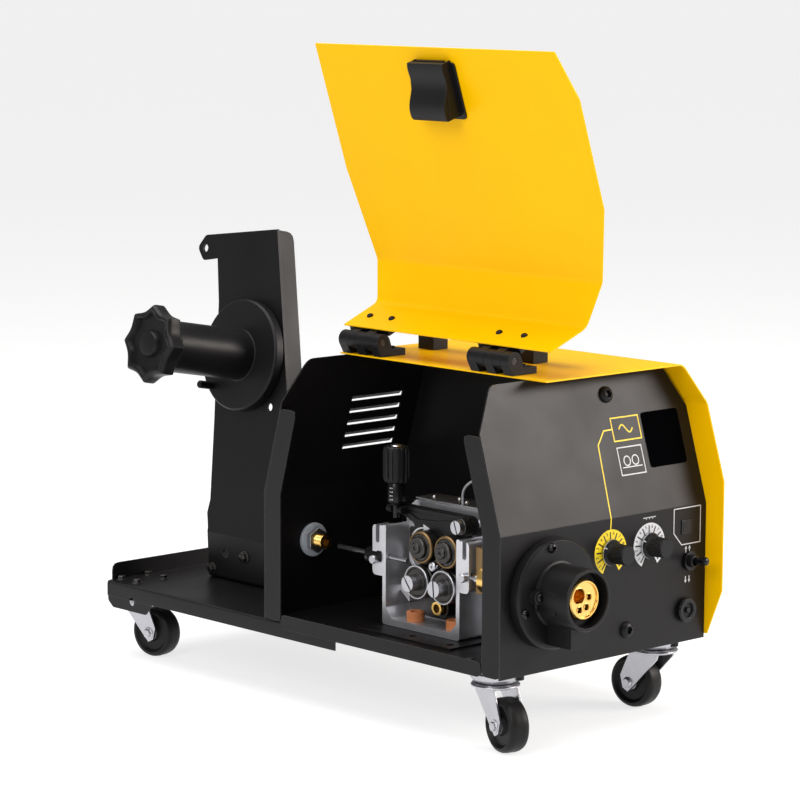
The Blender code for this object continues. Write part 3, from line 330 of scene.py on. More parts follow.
def rounded(points, radius, closed=True, steps=5):
    """The outline with each corner replaced by a curve."""
    made = []
    count = len(points)
    for i, corner in enumerate(points):
        if not closed and i in (0, count - 1):
            made.append(tuple(corner))
            continue
        here = Vector(corner)
        back = Vector(points[i - 1]) - here
        ahead = Vector(points[(i + 1) % count]) - here
        cut = min(radius / tan(back.angle(ahead) / 2), 0.45 * back.length, 0.45 * ahead.length)
        start, end = here + back.normalized() * cut, here + ahead.normalized() * cut
        for step in range(steps + 1):
            t = step / steps
            made.append(tuple(start * (1 - t) ** 2 + here * 2 * t * (1 - t) + end * t ** 2))
    return made


def turned(profile, steps=48, ring=False, ripple=None):
    """Rings of (radius, height) as a solid; ripple(ring, angle) is added to a ring's radius."""
    verts, faces, rows = [], [], []
    for i, (radius, height) in enumerate(profile):
        row = []
        for k in range(1 if radius < 1e-6 else steps):
            angle = 2 * pi * k / steps
            reach = radius + (ripple(i, angle) if ripple and radius > 1e-6 else 0)
            row.append(len(verts))
            verts.append((reach * cos(angle), reach * sin(angle), height))
        rows.append(row)
    pairs = list(zip(rows, rows[1:])) + ([(rows[-1], rows[0])] if ring else [])
    for low, high in pairs:
        for k in range(steps):
            after = (k + 1) % steps
            if len(low) == 1 and len(high) == 1:
                continue
            if len(low) == 1:
                faces.append((low[0], high[after], high[k]))
            elif len(high) == 1:
                faces.append((low[k], low[after], high[0]))
            else:
                faces.append((low[k], low[after], high[after], high[k]))
    return verts, faces


def tube(inner, outer, low, high, steps=40):
    return turned([(inner, low), (outer, low), (outer, high), (inner, high)], steps, ring=True)


def rod(radius, low, high, steps=32):
    return turned([(0, low), (radius, low), (radius, high), (0, high)], steps)


def prism(outline, low, high):
    count = len(outline)
    verts = [(u, v, low) for u, v in outline] + [(u, v, high) for u, v in outline]
    faces = [tuple(range(count))[::-1], tuple(range(count, 2 * count))]
    faces += [(i, (i + 1) % count, count + (i + 1) % count, count + i) for i in range(count)]
    return verts, faces


def solid_mesh(name, verts, faces):
    mesh = bpy.data.meshes.new(name)
    mesh.from_pydata(verts, [], faces)
    work = bmesh.new()
    work.from_mesh(mesh)
    bmesh.ops.recalc_face_normals(work, faces=work.faces)
    work.to_mesh(mesh)
    work.free()
    return mesh


def evaluated(obj):
    """A mesh of obj with its modifiers applied."""
    return bpy.data.meshes.new_from_object(obj.evaluated_get(bpy.context.evaluated_depsgraph_get()))


def piece(name, look, body, parts, bevel=0.0, replaces=()):
    """One object from parts, each a (verts, faces) pair in millimetres and the frame it sits in."""
    verts, faces = [], []
    for (some, more), place in parts:
        start = len(verts)
        verts += [place @ (Vector(v) * MM) for v in some]
        faces += [tuple(start + i for i in face) for face in more]
    mesh = solid_mesh(name, verts, faces)
    mesh.materials.append(look)
    mesh.polygons.foreach_set("use_smooth", [True] * len(mesh.polygons))
    obj = shown(name, mesh)
    if bevel:
        soften(obj, bevel)
    else:
        mesh.set_sharp_from_angle(angle=SHARP)
    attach(obj, body)
    if replaces:
        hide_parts(*replaces)
    return obj


def combine(obj, operation, solid, place):
    """Cuts a (verts, faces) solid out of obj, or unites it with obj, for good."""
    verts, faces = solid
    tool = shown("tool", solid_mesh("tool", [place @ (Vector(v) * MM) for v in verts], faces))
    step = obj.modifiers.new("combine", "BOOLEAN")
    step.operation = operation
    step.solver = "EXACT"
    step.object = tool
    made = evaluated(obj)
    obj.modifiers.remove(step)
    obj.data = made
    bpy.data.objects.remove(tool, do_unlink=True)


def carve(obj, cutters):
    """Cuts each (solid, frame) out of obj."""
    for solid, place in cutters:
        combine(obj, "DIFFERENCE", solid, place)
    obj.data.set_sharp_from_angle(angle=SHARP)


def pan_head(radius, height):
    """A domed screw head with a six-lobed socket."""
    profile = [(0, height * 0.35), (radius * 0.42, height * 0.35), (radius * 0.46, height * 0.97),
               (radius * 0.75, height * 0.85), (radius * 0.94, height * 0.5), (radius, height * 0.12),
               (radius, 0), (0, 0)]
    return turned(profile, 36, ripple=lambda i, a: 0.07 * radius * cos(6 * a) if i in (1, 2) else 0)


def hex_head(radius, height):
    """A flanged hexagon head."""
    def ripple(i, angle):
        return 0 if i > 3 else (i > 0) * radius * 0.72 * (cos(pi / 6) / cos(angle % (pi / 3) - pi / 6) - 1)
    profile = [(0, height), (radius * 0.62, height), (radius * 0.72, height * 0.92),
               (radius * 0.72, height * 0.3), (radius * 0.98, height * 0.2), (radius, height * 0.1),
               (radius, 0), (0, 0)]
    return turned(profile, 48, ripple=ripple)


def slot_head(radius, height, slot):
    """A flat screw head with a straight slot, as one solid."""
    half = slot / 2
    verts, faces = turned([(0, height * 0.6), (radius, height * 0.6), (radius, 0), (0, 0)], 40)
    for sign in (-1, 1):
        start = half / radius
        arc = [(sign * radius * sin(start + (pi - 2 * start) * i / 24),
                radius * cos(start + (pi - 2 * start) * i / 24)) for i in range(25)]
        arc = [(sign * max(abs(u), half), v) for u, v in arc]
        extra, more = prism(arc, height * 0.55, height)
        base = len(verts)
        verts = verts + extra
        faces = faces + [tuple(base + i for i in face) for face in more]
    return verts, faces


def bent_tube(name, points, radius, look, body):
    """A round lead along a smooth curve through the feeder's frame."""
    curve = bpy.data.curves.new(name, "CURVE")
    curve.dimensions = "3D"
    curve.bevel_depth = radius * MM
    curve.bevel_resolution = 5
    curve.use_fill_caps = True
    line = curve.splines.new("NURBS")
    line.points.add(len(points) - 1)
    for point, place in zip(line.points, points):
        point.co = (*(BASE @ (Vector(place) * MM)), 1)
    line.use_endpoint_u = True
    line.order_u = 4
    source = shown(name, curve)
    mesh = evaluated(source)
    bpy.data.objects.remove(source, do_unlink=True)
    mesh.materials.clear()
    mesh.materials.append(look)
    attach(shown(name, mesh), body)


# ---------------------------------------------------------------- case, door and hinges

def panel_point(x, z, lift=0.0):
    """A point on the front panel's face, lifted off it."""
    if z <= BEND_Z:
        return Vector((x, -lift, z))
    out = Vector((0, -1, LEAN)).normalized()
    return Vector((x, LEAN * (z - BEND_Z), z)) + out * lift


def panel_frame(x, z):
    if z <= BEND_Z:
        return facing((x, 0, z), -Y)
    return facing(panel_point(x, z), (0, -1, LEAN))


def printed_shape(outline, lift=0.10):
    """A thin print on the front panel, from an outline of (x, z)."""
    verts = [panel_point(x, z, -0.1) for x, z in outline] + [panel_point(x, z, lift) for x, z in outline]
    return (verts, prism(outline, 0, 1)[1]), BASE


def printed_line(points, width, lift=0.10, closed=False):
    """A print of even width along points; each stretch is mitred with its neighbours."""
    ends = list(zip(points, points[1:] + points[:1] if closed else points[1:]))
    normals = []
    for (x0, z0), (x1, z1) in ends:
        along = Vector((x1 - x0, z1 - z0)).normalized()
        normals.append(Vector((-along.y, along.x)))
    offsets = []
    count = len(points)
    for i in range(count):
        before = normals[i - 1] if closed or i > 0 else normals[0]
        after = normals[i] if i < len(normals) else normals[-1]
        offsets.append((before + after) / (1 + before.dot(after)) * width / 2)
    made = []
    for i in range(len(ends)):
        j = (i + 1) % count
        a, b = Vector(points[i]), Vector(points[j])
        made.append(printed_shape([a + offsets[i], b + offsets[j], b - offsets[j], a - offsets[i]], lift))
    return made


def digit_parts(text, size, place):
    """A plain raised number, centred in its frame."""
    curve = bpy.data.curves.new("digits", "FONT")
    curve.body = text
    curve.size = size * MM
    curve.align_x = "CENTER"
    curve.align_y = "CENTER"
    curve.extrude = 0.08 * MM
    source = shown("digits", curve)
    mesh = evaluated(source)
    work = bmesh.new()
    work.from_mesh(mesh)
    bmesh.ops.remove_doubles(work, verts=work.verts, dist=0.000001)
    work.to_mesh(mesh)
    work.free()
    bpy.data.objects.remove(source, do_unlink=True)
    return ([v.co / MM for v in mesh.vertices], [tuple(p.vertices) for p in mesh.polygons]), place


def rear_frame(x, z):
    """A frame on the rear panel's leaning part."""
    return facing((x, REAR_Y - REAR_LEAN * (z - BEND_Z), z), (0, 1, REAR_LEAN))


def dial_scale(name, look):
    """A printed sector around a dial, with ticks and plain numbers."""
    x, z = DIALS[name], DIAL_Z
    start, sweep, inner, outer = radians(242), radians(-300), 10.5, 21.0
    steps = 60
    turns = [start + sweep * i / steps for i in range(steps + 1)]
    rim = [(x + outer * cos(a), z + outer * sin(a)) for a in turns]
    core = [(x + inner * cos(a), z + inner * sin(a)) for a in reversed(turns)]
    piece(f"{name}_scale", look, "root", [printed_shape(rim + core, 0.09)])
    marks = []
    for i in range(11):
        a = start + sweep * (0.03 + 0.94 * i / 10)
        tick = [(x + reach * cos(a), z + reach * sin(a)) for reach in (11.8, 18.8)]
        marks += printed_line(tick, 1.4, 0.16)
    for i in range(10):
        a = start + sweep * (0.03 + 0.94 * (i + 0.5) / 10)
        place = facing((x + 17.6 * cos(a), -0.12, z + 17.6 * sin(a)), -Y, up=(cos(a), 0, sin(a)))
        marks.append(digit_parts(str(i + 1), 4.6, place))
    piece(f"{name}_marks", PRINT_BLACK, "root", marks)


def arrow(x, z, height, way):
    """A small arrow print that points up or down."""
    half = height / 2
    tip, tail = (z + half, z - half) if way > 0 else (z - half, z + half)
    neck = tip - way * height * 0.42
    return printed_shape([(x, tip), (x - 1.5, neck), (x - 0.55, neck), (x - 0.55, tail), (x + 0.55, tail),
                          (x + 0.55, neck), (x + 1.5, neck)][::way])


def panel_prints():
    """The scales, lines and plain symbols on the front panel, and the indicator window."""
    dial_scale("speed", PRINT_YELLOW)
    dial_scale("voltage", PRINT_WHITE)
    lines = printed_line([(5.4, 118.5), (5.9, BEND_Z), (8.2, 192.8), (18.9, 204.6), (30.3, 204.9)], 1.3)
    lines += printed_line([(30.3, 194), (66.6, 194), (66.6, 214.5), (30.3, 214.5)], 1.2, closed=True)
    wave = [(39 + 18 * i / 20, 204.2 + 3.6 * sin(2 * pi * i / 20)) for i in range(21)]
    lines += printed_line(wave, 1.3)
    piece("yellow_panel_lines", PRINT_YELLOW, "root", lines)

    white = printed_line([(31.4, 163.6), (63.4, 163.6), (63.4, 188), (31.4, 188)], 1.0, closed=True)
    for u, v in ((41.5, 175.8), (52.5, 175.8)):
        white += printed_line(circle(4.2, 20, u, v), 1.0, closed=True)
    white += printed_line([(34.5, 170.2), (60.3, 170.2)], 0.9)
    white += printed_line([(90.6, 104), (101.5, 92.2), (127, 92.2), (127, 126.6), (90.6, 126.6)], 0.9,
                          closed=True)
    for x in (107.6, 112.6):
        white += [arrow(x, 87.2, 6.6, 1), arrow(x, 58.6, 6.6, -1)]
    white += printed_line([(48.6, 123.4), (65.6, 123.4)], 0.7)
    for x in (53.0, 57.2, 61.4):
        white += printed_line([(x, 121.6), (x, 123.4)], 0.6)
    piece("white_panel_lines", PRINT_WHITE, "root", white)

    x, z = 108.6, 108.5
    face = facing((0, 0, 0), -Y)
    port = prism(rectangle(x - 8, z - 6.8, x + 8, z + 6.8), 0, 0.9)
    piece("indicator_port", GLOSSY, "root", [(port, face)], bevel=0.3)
    shutter = prism(rectangle(x - 5.6, z - 4.6, x - 0.6, z + 4.6), 0.7, 1.2)
    # The shutter is coloured with the near-black painted shade.
    piece("indicator_shutter", PAINTED_VOID_SHADE, "root", [(shutter, face)], bevel=0.15)


def case_screws():
    """Screw heads on the case, one object for each look."""
    big, small = pan_head(7.8, 4.6), pan_head(3.6, 2.4)
    stud = turned([(0, 0), (5.2, 0), (5.2, 8.6), (4.4, 9.2), (0, 9.2)], 24)
    screws = [(big, panel_frame(27.7, 22.7)), (big, panel_frame(30.6, 236))]
    screws += [(stud, facing((x, 14, 2.2), -Z, up=Y)) for x in (-97, 107.5)]
    screws += [(small, facing((SIDE_X, y, 14), X)) for y in (60, 160, 262)]
    screws += [(small, rear_frame(x, 240)) for x in (-90, 0, 90)]
    screws += [(small, facing((x, REAR_Y, 20), Y)) for x in (-118, 118, -20)]
    piece("case_screws", PLASTIC, "root", screws)
    rivet = turned([(0, 2.6), (2.0, 2.2), (2.2, 0), (0, 0)], 16)
    rivets = [(rivet, upward(x, y, 7))
              for x, y in ((12, 236), (12, 262), (24, 250), (30, 228), (6, 250), (33, 268))]
    piece("floor_rivets", ZINC, "root", rivets)


def louvres():
    """Pressed hoods over the rear slots, and their lips inside."""
    half = (21.0 + 44.6) / 2
    middle = (21.0 - 44.6) / 2
    parts = []
    for i in range(5):
        place = rear_frame(middle, 163.0 + 12.0 * i)
        section = [(3.0, -0.4), (2.3, 2.2), (-2.2, 5.4), (-2.9, 4.4), (1.4, 1.5), (2.0, -0.4)]
        count = len(section)
        verts = [(-half - 2, v, w) for v, w in section] + [(half + 2, v, w) for v, w in section]
        faces = [tuple(range(count)), tuple(range(count, 2 * count))[::-1]]
        faces += [(k, (k + 1) % count, count + (k + 1) % count, count + k) for k in range(count)]
        parts.append(((verts, faces), place))
    piece("louvre_hoods", BLACK, "root", parts, bevel=0.3)


def hinge_and_door_detail():
    """Screws of the hinges and the door flange, and the catch's ribs and base plate."""
    hinge_screws = (66, 98, 242, 272)
    small, flat = pan_head(3.3, 2.2), pan_head(3.0, 1.8)
    slope = (262.0 - 258.6) / (116.3 - 68.0)
    flange_z = 258.6 + (-88.0 + 116.3) * slope - 1.5
    flange = [(small, facing((-88.0, y, flange_z), (slope, 0, -1), up=Y, base=DOOR_BASE))
              for y in hinge_screws]
    piece("door_flange_screws", PLASTIC, "door", flange)
    leaf = [(flat, upward(-41.5, y, 265.4)) for y in (67, 84, 101, 241, 258, 275)]
    piece("hinge_leaf_screws", GLOSSY, "root", leaf)
    flap = [(flat, facing((-88, y, 267.1), (-0.08, 0, 1), up=Y, base=DOOR_BASE)) for y in hinge_screws]
    piece("hinge_flap_screws", GLOSSY, "door", flap)

    face_x = -SIDE_X + 1.8
    rib = prism([(face_x + 2, 65), (face_x + 17.5, 65), (face_x + 9, 20), (face_x + 8.0, 20),
                 (face_x + 15.6, 63.6), (face_x + 2, 63.6)], -0.25, 0.25)
    ribs = [(rib, facing((0, y, 0), -Y, base=DOOR_BASE)) for y in (129.9, 176.1)]
    piece("latch_side_ribs", PLASTIC, "door", ribs)
    base_plate = prism(rounded(rectangle(-180, 17, -125, 71), 4), 0.0, 2.0)
    inside = facing((-SIDE_X + 1.55, 0, 0), X, base=DOOR_BASE) @ Matrix.Diagonal((-1, 1, 1, 1))
    piece("latch_base_plate", PLASTIC, "door", [(base_plate, inside)], bevel=0.4)


# ---------------------------------------------------------------- spool hub, tray and bracket

def spool_hub():
    """The mandrel with its disc and locating pin, and the star knob with eight tips."""
    place = facing(HUB, HUB_AXIS)
    outer = rounded([(24.8, 112.5), (25.5, 111.5), (25.5, 12.5), (54.5, 12.5), (56.5, 10.5), (56.5, 2.0),
                     (55, 0.5)], 1.6, closed=False, steps=4)
    profile = outer + [(6.5, 0.5), (6.5, 18), (20, 18), (20, 104.5), (6.5, 104.5), (6.5, 112.5)]
    pin = (turned([(0, 31), (3.0, 31), (4.0, 29.6), (4.0, 11), (0, 11)], 28), place @ Matrix.Translation(
        Vector((-33, -35, 0)) * MM))
    band = (turned([(25.2, 108), (26.0, 107.4), (26.0, 105.2), (25.2, 104.6)], 64, ring=True), place)
    piece("hub_body", PLASTIC, "hub", [(turned(profile, 72, ring=True), place), pin, band], bevel=0.4,
          replaces=("hub_mandrel",))

    rings = [(6.5, 112.8), (28, 112.8), (35, 113.6), (38.2, 115.2), (38.7, 117), (38.7, 126), (38.3, 128.4),
             (36.6, 130.4), (34.4, 131.2), (32.0, 130.6), (30.6, 128.2), (29.6, 126.4), (14.0, 125.8),
             (12.8, 129.2), (11.6, 130.8), (8, 131.3), (0, 131.4), (0, 117.5), (6.5, 117.5)]
    hollow = [0, 2.0, 4.6, 5.5, 5.6, 5.6, 5.5, 5.4, 5.3, 5.1, 4.9, 4.7] + [0] * 7
    star = turned(rings, 192, ring=True, ripple=lambda i, angle: -hollow[i] * abs(sin(4 * angle)))
    piece("hub_star_knob", PLASTIC, "hub_knob", [(star, place)], replaces=("hub_lock_knob",))


def tray_detail():
    """Bolts of the casters and the spool bracket, and the nuts under the tray."""
    bolts = []
    for end, head, z in (("rear", hex_head(5.4, 4.2), 5.2), ("front", hex_head(5.0, 3.6), 7.0)):
        for side in ("left", "right"):
            x, y, _ = CASTERS[f"{end}_{side}"]
            for dx, dy in ((-17, -15), (17, -15), (17, 15), (-17, 15)):
                bolts.append((head, upward(x + dx, min(y + dy, 558), z)))
    bolts.append((hex_head(6.4, 4.6), facing((-44, 455, 33), -X)))
    bolts.append((hex_head(6.0, 4.2), facing((-44, 506, 14.5), -X)))
    bolts += [(hex_head(6.0, 4.2), upward(-28, y, 7.7)) for y in (455, 500)]
    piece("frame_bolts", DARK_STEEL, "root", bolts)
    nuts = [(hex_head(5.6, 4.0), facing((x, y, -1.2), -Z, up=Y))
            for x, y in ((-40, 255), (40, 255), (-40, 300), (40, 300))]
    piece("tray_nuts", ZINC, "root", nuts)


# ---------------------------------------------------------------- casters

def caster_detail():
    """Tyre, bearing, axle nuts and race cup of each caster."""
    for where, (x, y, heading) in CASTERS.items():
        swivel = BASE @ Matrix.Translation(Vector((x, y, 0)) * MM) @ Matrix.Rotation(radians(heading), 4, "Z")
        hub = swivel @ Matrix.Translation(Vector((21, 0, -46)) * MM)
        across = hub @ Matrix.Rotation(radians(-90), 4, "X")
        half = [(4.0, 9.6), (8.2, 9.6), (8.8, 8.4), (9.4, 7.0), (17.4, 6.6), (18.6, 7.6), (19.4, 9.2),
                (20.4, 10.0), (21.6, 9.9), (23.6, 8.6), (24.6, 6.6), (25.0, 3.4)]
        tyre = half + [(24.9, 0.4), (24.9, -0.4)] + [(r, -h) for r, h in reversed(half)]
        tyre = turned(tyre, 72, ring=True)
        piece(f"caster_{where}_tyre", RUBBER, f"caster_{where}_wheel", [(tyre, across)],
              replaces=(f"caster_{where}_wheel",))
        discs = [(tube(4.0, 7.6, s * 9.7, s * 7.2), across) for s in (-1, 1)]
        piece(f"caster_{where}_bearing", ZINC, f"caster_{where}_wheel", discs, bevel=0.15)
        nuts = []
        for side in (-1, 1):
            turn = hub @ Matrix.Rotation(radians(-90 * side), 4, "X")
            turn = turn @ Matrix.Translation((0, 0, 13.3 * MM))
            nuts.append((pan_head(5.2, 2.6) if side > 0 else hex_head(6.2, 3.0), turn))
        ring = rounded([(17.4, -10.9), (20.8, -10.9), (22.3, -12.4), (22.3, -13.8), (20.6, -14.4),
                        (17.4, -14.4)], 0.8, steps=3)
        nuts.append((turned(ring, 64, ring=True), swivel))
        piece(f"caster_{where}_axle_nuts", ZINC, f"caster_{where}_fork", nuts)
        cup = rounded([(12, 1.0), (23.0, 1.0), (24.0, -2.0), (22.6, -6.4), (19.6, -9.9), (15.6, -9.9),
                       (12, -6)], 1.5, steps=3)
        piece(f"caster_{where}_race_cup", ZINC, "root", [(turned(cup, 64, ring=True), swivel)])


# ---------------------------------------------------------------- wire drive

FEED_ROLLS = {"front": (130.0, 56.5), "rear": (165.0, 56.5)}
PRESSURE_ROLLS = {"front": (129.4, 89.0), "rear": (163.4, 89.0)}
BUSHES = ((-67, 180), (-67, 127))
DECK_X = -48.0
FRONT_X = -79.0
PIVOT_HUB = (DECK_X, 192, 73)
RELEASE = (DECK_X, 147, 33)


def rolls():
    """Feed rolls with capped, slotted screws, and pressure rolls with bronze rings."""
    for where, (y, z) in FEED_ROLLS.items():
        place = facing((-35, y, z), -X)
        body = [(0, 46), (9.2, 46), (9.2, 45), (12.4, 45), (13.2, 46), (16, 46), (16, 41.4),
                (14.6, 40.0), (14.6, 39.4), (15.4, 38.8), (16, 37.4), (16, 32), (5, 32), (5, 0), (0, 0)]
        piece(f"feed_roll_{where}_disc", DARK_STEEL, f"feed_roll_{where}", [(turned(body, 64), place)],
              bevel=0.25, replaces=(f"feed_roll_{where}",))
        spin = Matrix.Rotation(radians(38 if where == "rear" else 5), 4, "Z")
        cap = place @ Matrix.Translation((0, 0, 46 * MM)) @ spin
        piece(f"feed_roll_{where}_cap", ZINC, f"feed_roll_{where}", [(slot_head(7.8, 11.4, 1.6), cap)],
              bevel=0.3)
        rim = [(14.7, 46.3), (15.7, 46.3), (16.1, 45.9), (16.1, 43.2), (14.7, 43.2)]
        piece(f"feed_roll_{where}_rim", ZINC, f"feed_roll_{where}", [(turned(rim, 64, ring=True), place)],
              bevel=0.15)
    for where, (y, z) in PRESSURE_ROLLS.items():
        place = facing((-58.5, y, z), -X)
        body = [(0, 24.6), (2.2, 24.6), (2.2, 26.4), (4.6, 26.4), (5.4, 25.6), (5.4, 24.0), (9.4, 24.0),
                (10.4, 23.0), (10.4, 19.4), (12.0, 19.4), (12.6, 18.4), (15.2, 18.4), (15.2, 8.5), (4, 8.5),
                (4, 0), (0, 0)]
        piece(f"pressure_roll_{where}_disc", DARK_STEEL, f"pressure_roll_{where}",
              [(turned(body, 64), place)], bevel=0.2, replaces=(f"pressure_roll_{where}",))
        race = [(13.2, 19.4), (14.6, 19.2), (15.4, 18.2), (15.4, 16.4), (13.2, 16.4)]
        piece(f"pressure_roll_{where}_ring", DULL_BRASS, f"pressure_roll_{where}",
              [(turned(race, 64, ring=True), place)], bevel=0.15)


def side_plane(x):
    """A frame at x whose outlines are (y, z)."""
    return BASE @ Matrix.Translation(Vector((x, 0, 0)) * MM) @ SIDEWAYS


def slab(outline, low_x, high_x):
    """A plate from an outline of (y, z), with its frame."""
    return prism(outline, 0, high_x - low_x), side_plane(low_x)


def drive_body():
    """The cast frame: back, floor and two walls with rounded pockets, ears and slots."""
    deck = rounded([(97, 9.3), (213, 9.3), (213, 116), (200, 126), (104, 126), (97, 120)], 4)
    back = slab(deck, DECK_X, -14)
    body = piece("drive_casting_body", CAST, "root", [back], replaces=("drive_casting",))
    u_shape = [(109, 9.4), (213, 9.4), (213, 104), (208.5, 104), (208.5, 26), (200, 16), (122, 16),
               (113.5, 24), (113.5, 104), (109, 104)]
    u_shape = rounded(u_shape, 3.0, steps=3)
    wings = []
    for low, high in ((210, 227), (97, 112)):
        wings.append(rounded(rectangle(low, 55, high, 103), 5, steps=4))
    combine(body, "UNION", *slab(u_shape, FRONT_X, DECK_X + 4))
    for wing in wings:
        combine(body, "UNION", *slab(wing, FRONT_X + 0.1, -62))
    cutters = []
    for y in (220.0, 103.0):
        slot = rounded([(y - 2.6, 120), (y - 2.6, 86), (y + 2.6, 86), (y + 2.6, 120)], 2.5, steps=5)
        cutters.append(slab(slot, -100, -50))
    cutters.append((rod(2.8, 170, 0, 24), facing((WIRE_X, 80, WIRE_Z), Y)))
    for y, z in FEED_ROLLS.values():
        cutters.append((rod(5.4, 20, -6), facing((-33, y, z), -X)))
    cutters.append((rod(9.4, 12, -4, 40), facing((-46, 192, 73), -X)))
    pocket = rounded(rectangle(118, 100, 196, 116), 4)
    cutters.append(slab(pocket, DECK_X - 3, DECK_X + 1.6))
    carve(body, cutters)
    soften(body, 0.7)
    ribs = slab(rounded([(196, 30), (208.6, 40), (208.6, 45), (196, 42)], 1), DECK_X - 12, DECK_X + 2)
    boss = (turned([(8.6, 0), (8.6, 5.0), (12.4, 5.0), (12.4, 0)], 40, ring=True), facing(PIVOT_HUB, -X))
    piece("drive_casting_boss", CAST, "root", [ribs, boss], bevel=0.4)
    cover = slab(rounded(rectangle(114.5, 17, 207.5, 100), 3), DECK_X - 1.4, DECK_X - 0.2)
    cover_piece = piece("drive_back_plate", DARK_STEEL, "root", [cover])
    holes = [(rod(6.4, 8, -6), facing((DECK_X, y, z), -X)) for y, z in FEED_ROLLS.values()]
    holes.append((rod(12.9, 8, -6), facing(PIVOT_HUB, -X)))
    carve(cover_piece, holes)
    soften(cover_piece, 0.2)


def drive_fittings():
    """Top cover, screws, pins, release ring and insulating bushes of the drive."""
    strip = prism(rounded(rectangle(-44, 98, -15, 206), 2), 126.1, 127.6)
    tops = [(strip, BASE)]
    for x, y in ((-30, 112), (-30, 150), (-30, 194), (-22, 168), (-22, 132)):
        tops.append((pan_head(3.1, 1.8), upward(x, y, 127.5)))
    piece("drive_top_cover", ZINC, "root", tops)
    grip = turned([(0, 11), (3.8, 11), (4.2, 10.2), (4.2, 7.6), (2.3, 7.0), (2.3, 0), (0, 0)], 32)
    knob = turned([(0, 5.5), (3.6, 5.5), (4.2, 4.8), (4.2, 0), (0, 0)], 32)
    screws = [(grip, facing((-76, 226.8, 70), Y)), (grip, facing((-76, 96.6, 70), -Y))]
    screws += [(knob, facing((-79.2, y, 70), -X)) for y in (222, 101.5)]
    piece("drive_clamp_screws", ZINC, "root", screws)
    pins = [(turned([(0, 9), (2.2, 9), (2.6, 8.2), (2.6, 0), (0, 0)], 24), facing((-48, y, z), -X))
            for y, z in ((147.5, 43), (120, 30), (200, 60), (119.5, 77))]
    piece("drive_cover_pins", ZINC, "root", pins)
    bronze = (turned([(4.0, 24), (6.6, 24), (6.6, 22), (5.8, 21.5), (5.8, 0), (4.0, 0)], 40, ring=True),
              facing(RELEASE, -X))
    piece("drive_release_ring", BRASS, "root", [bronze], bevel=0.3)
    plug = (rod(4.0, 17, 2), facing(RELEASE, -X))
    sleeve = (tube(7.0, 9.6, 18, 0), facing(RELEASE, -X))
    piece("drive_release_sleeve", DARK_STEEL, "root", [plug, sleeve], bevel=0.3)
    bush = turned([(4.4, 9), (8.0, 9), (8.4, 8.4), (8.4, 0), (4.4, 0)], 40, ring=True)
    bolt = turned([(0, 4), (3.2, 4), (3.3, 0), (0, 0)], 24)
    places = [upward(x, y, 16) for x, y in BUSHES]
    piece("drive_insulators", ORANGE, "root", [(bush, place) for place in places], bevel=0.3)
    piece("drive_insulator_screws", DARK_STEEL, "root", [(bolt, place) for place in places], bevel=0.2)


MARK_SIDES = 160


def collar_mark(height, angle, sides_wide):
    """A thin raised patch on the tension collar."""
    ring = [(8.62, height + 0.5), (8.62, height - 0.5), (8.3, height - 0.5), (8.3, height + 0.5)]
    verts, faces = turned(ring, MARK_SIDES, ring=True)
    first = int(angle / (2 * pi) * MARK_SIDES)
    last = first + sides_wide
    chosen = [faces[r * MARK_SIDES + c] for r in range(4) for c in range(first, last)]
    chosen += [tuple(r * MARK_SIDES + first for r in range(4)),
               tuple(r * MARK_SIDES + last for r in range(4))[::-1]]
    used = sorted({v for face in chosen for v in face})
    index = {v: n for n, v in enumerate(used)}
    return [verts[v] for v in used], [tuple(index[v] for v in face) for face in chosen]


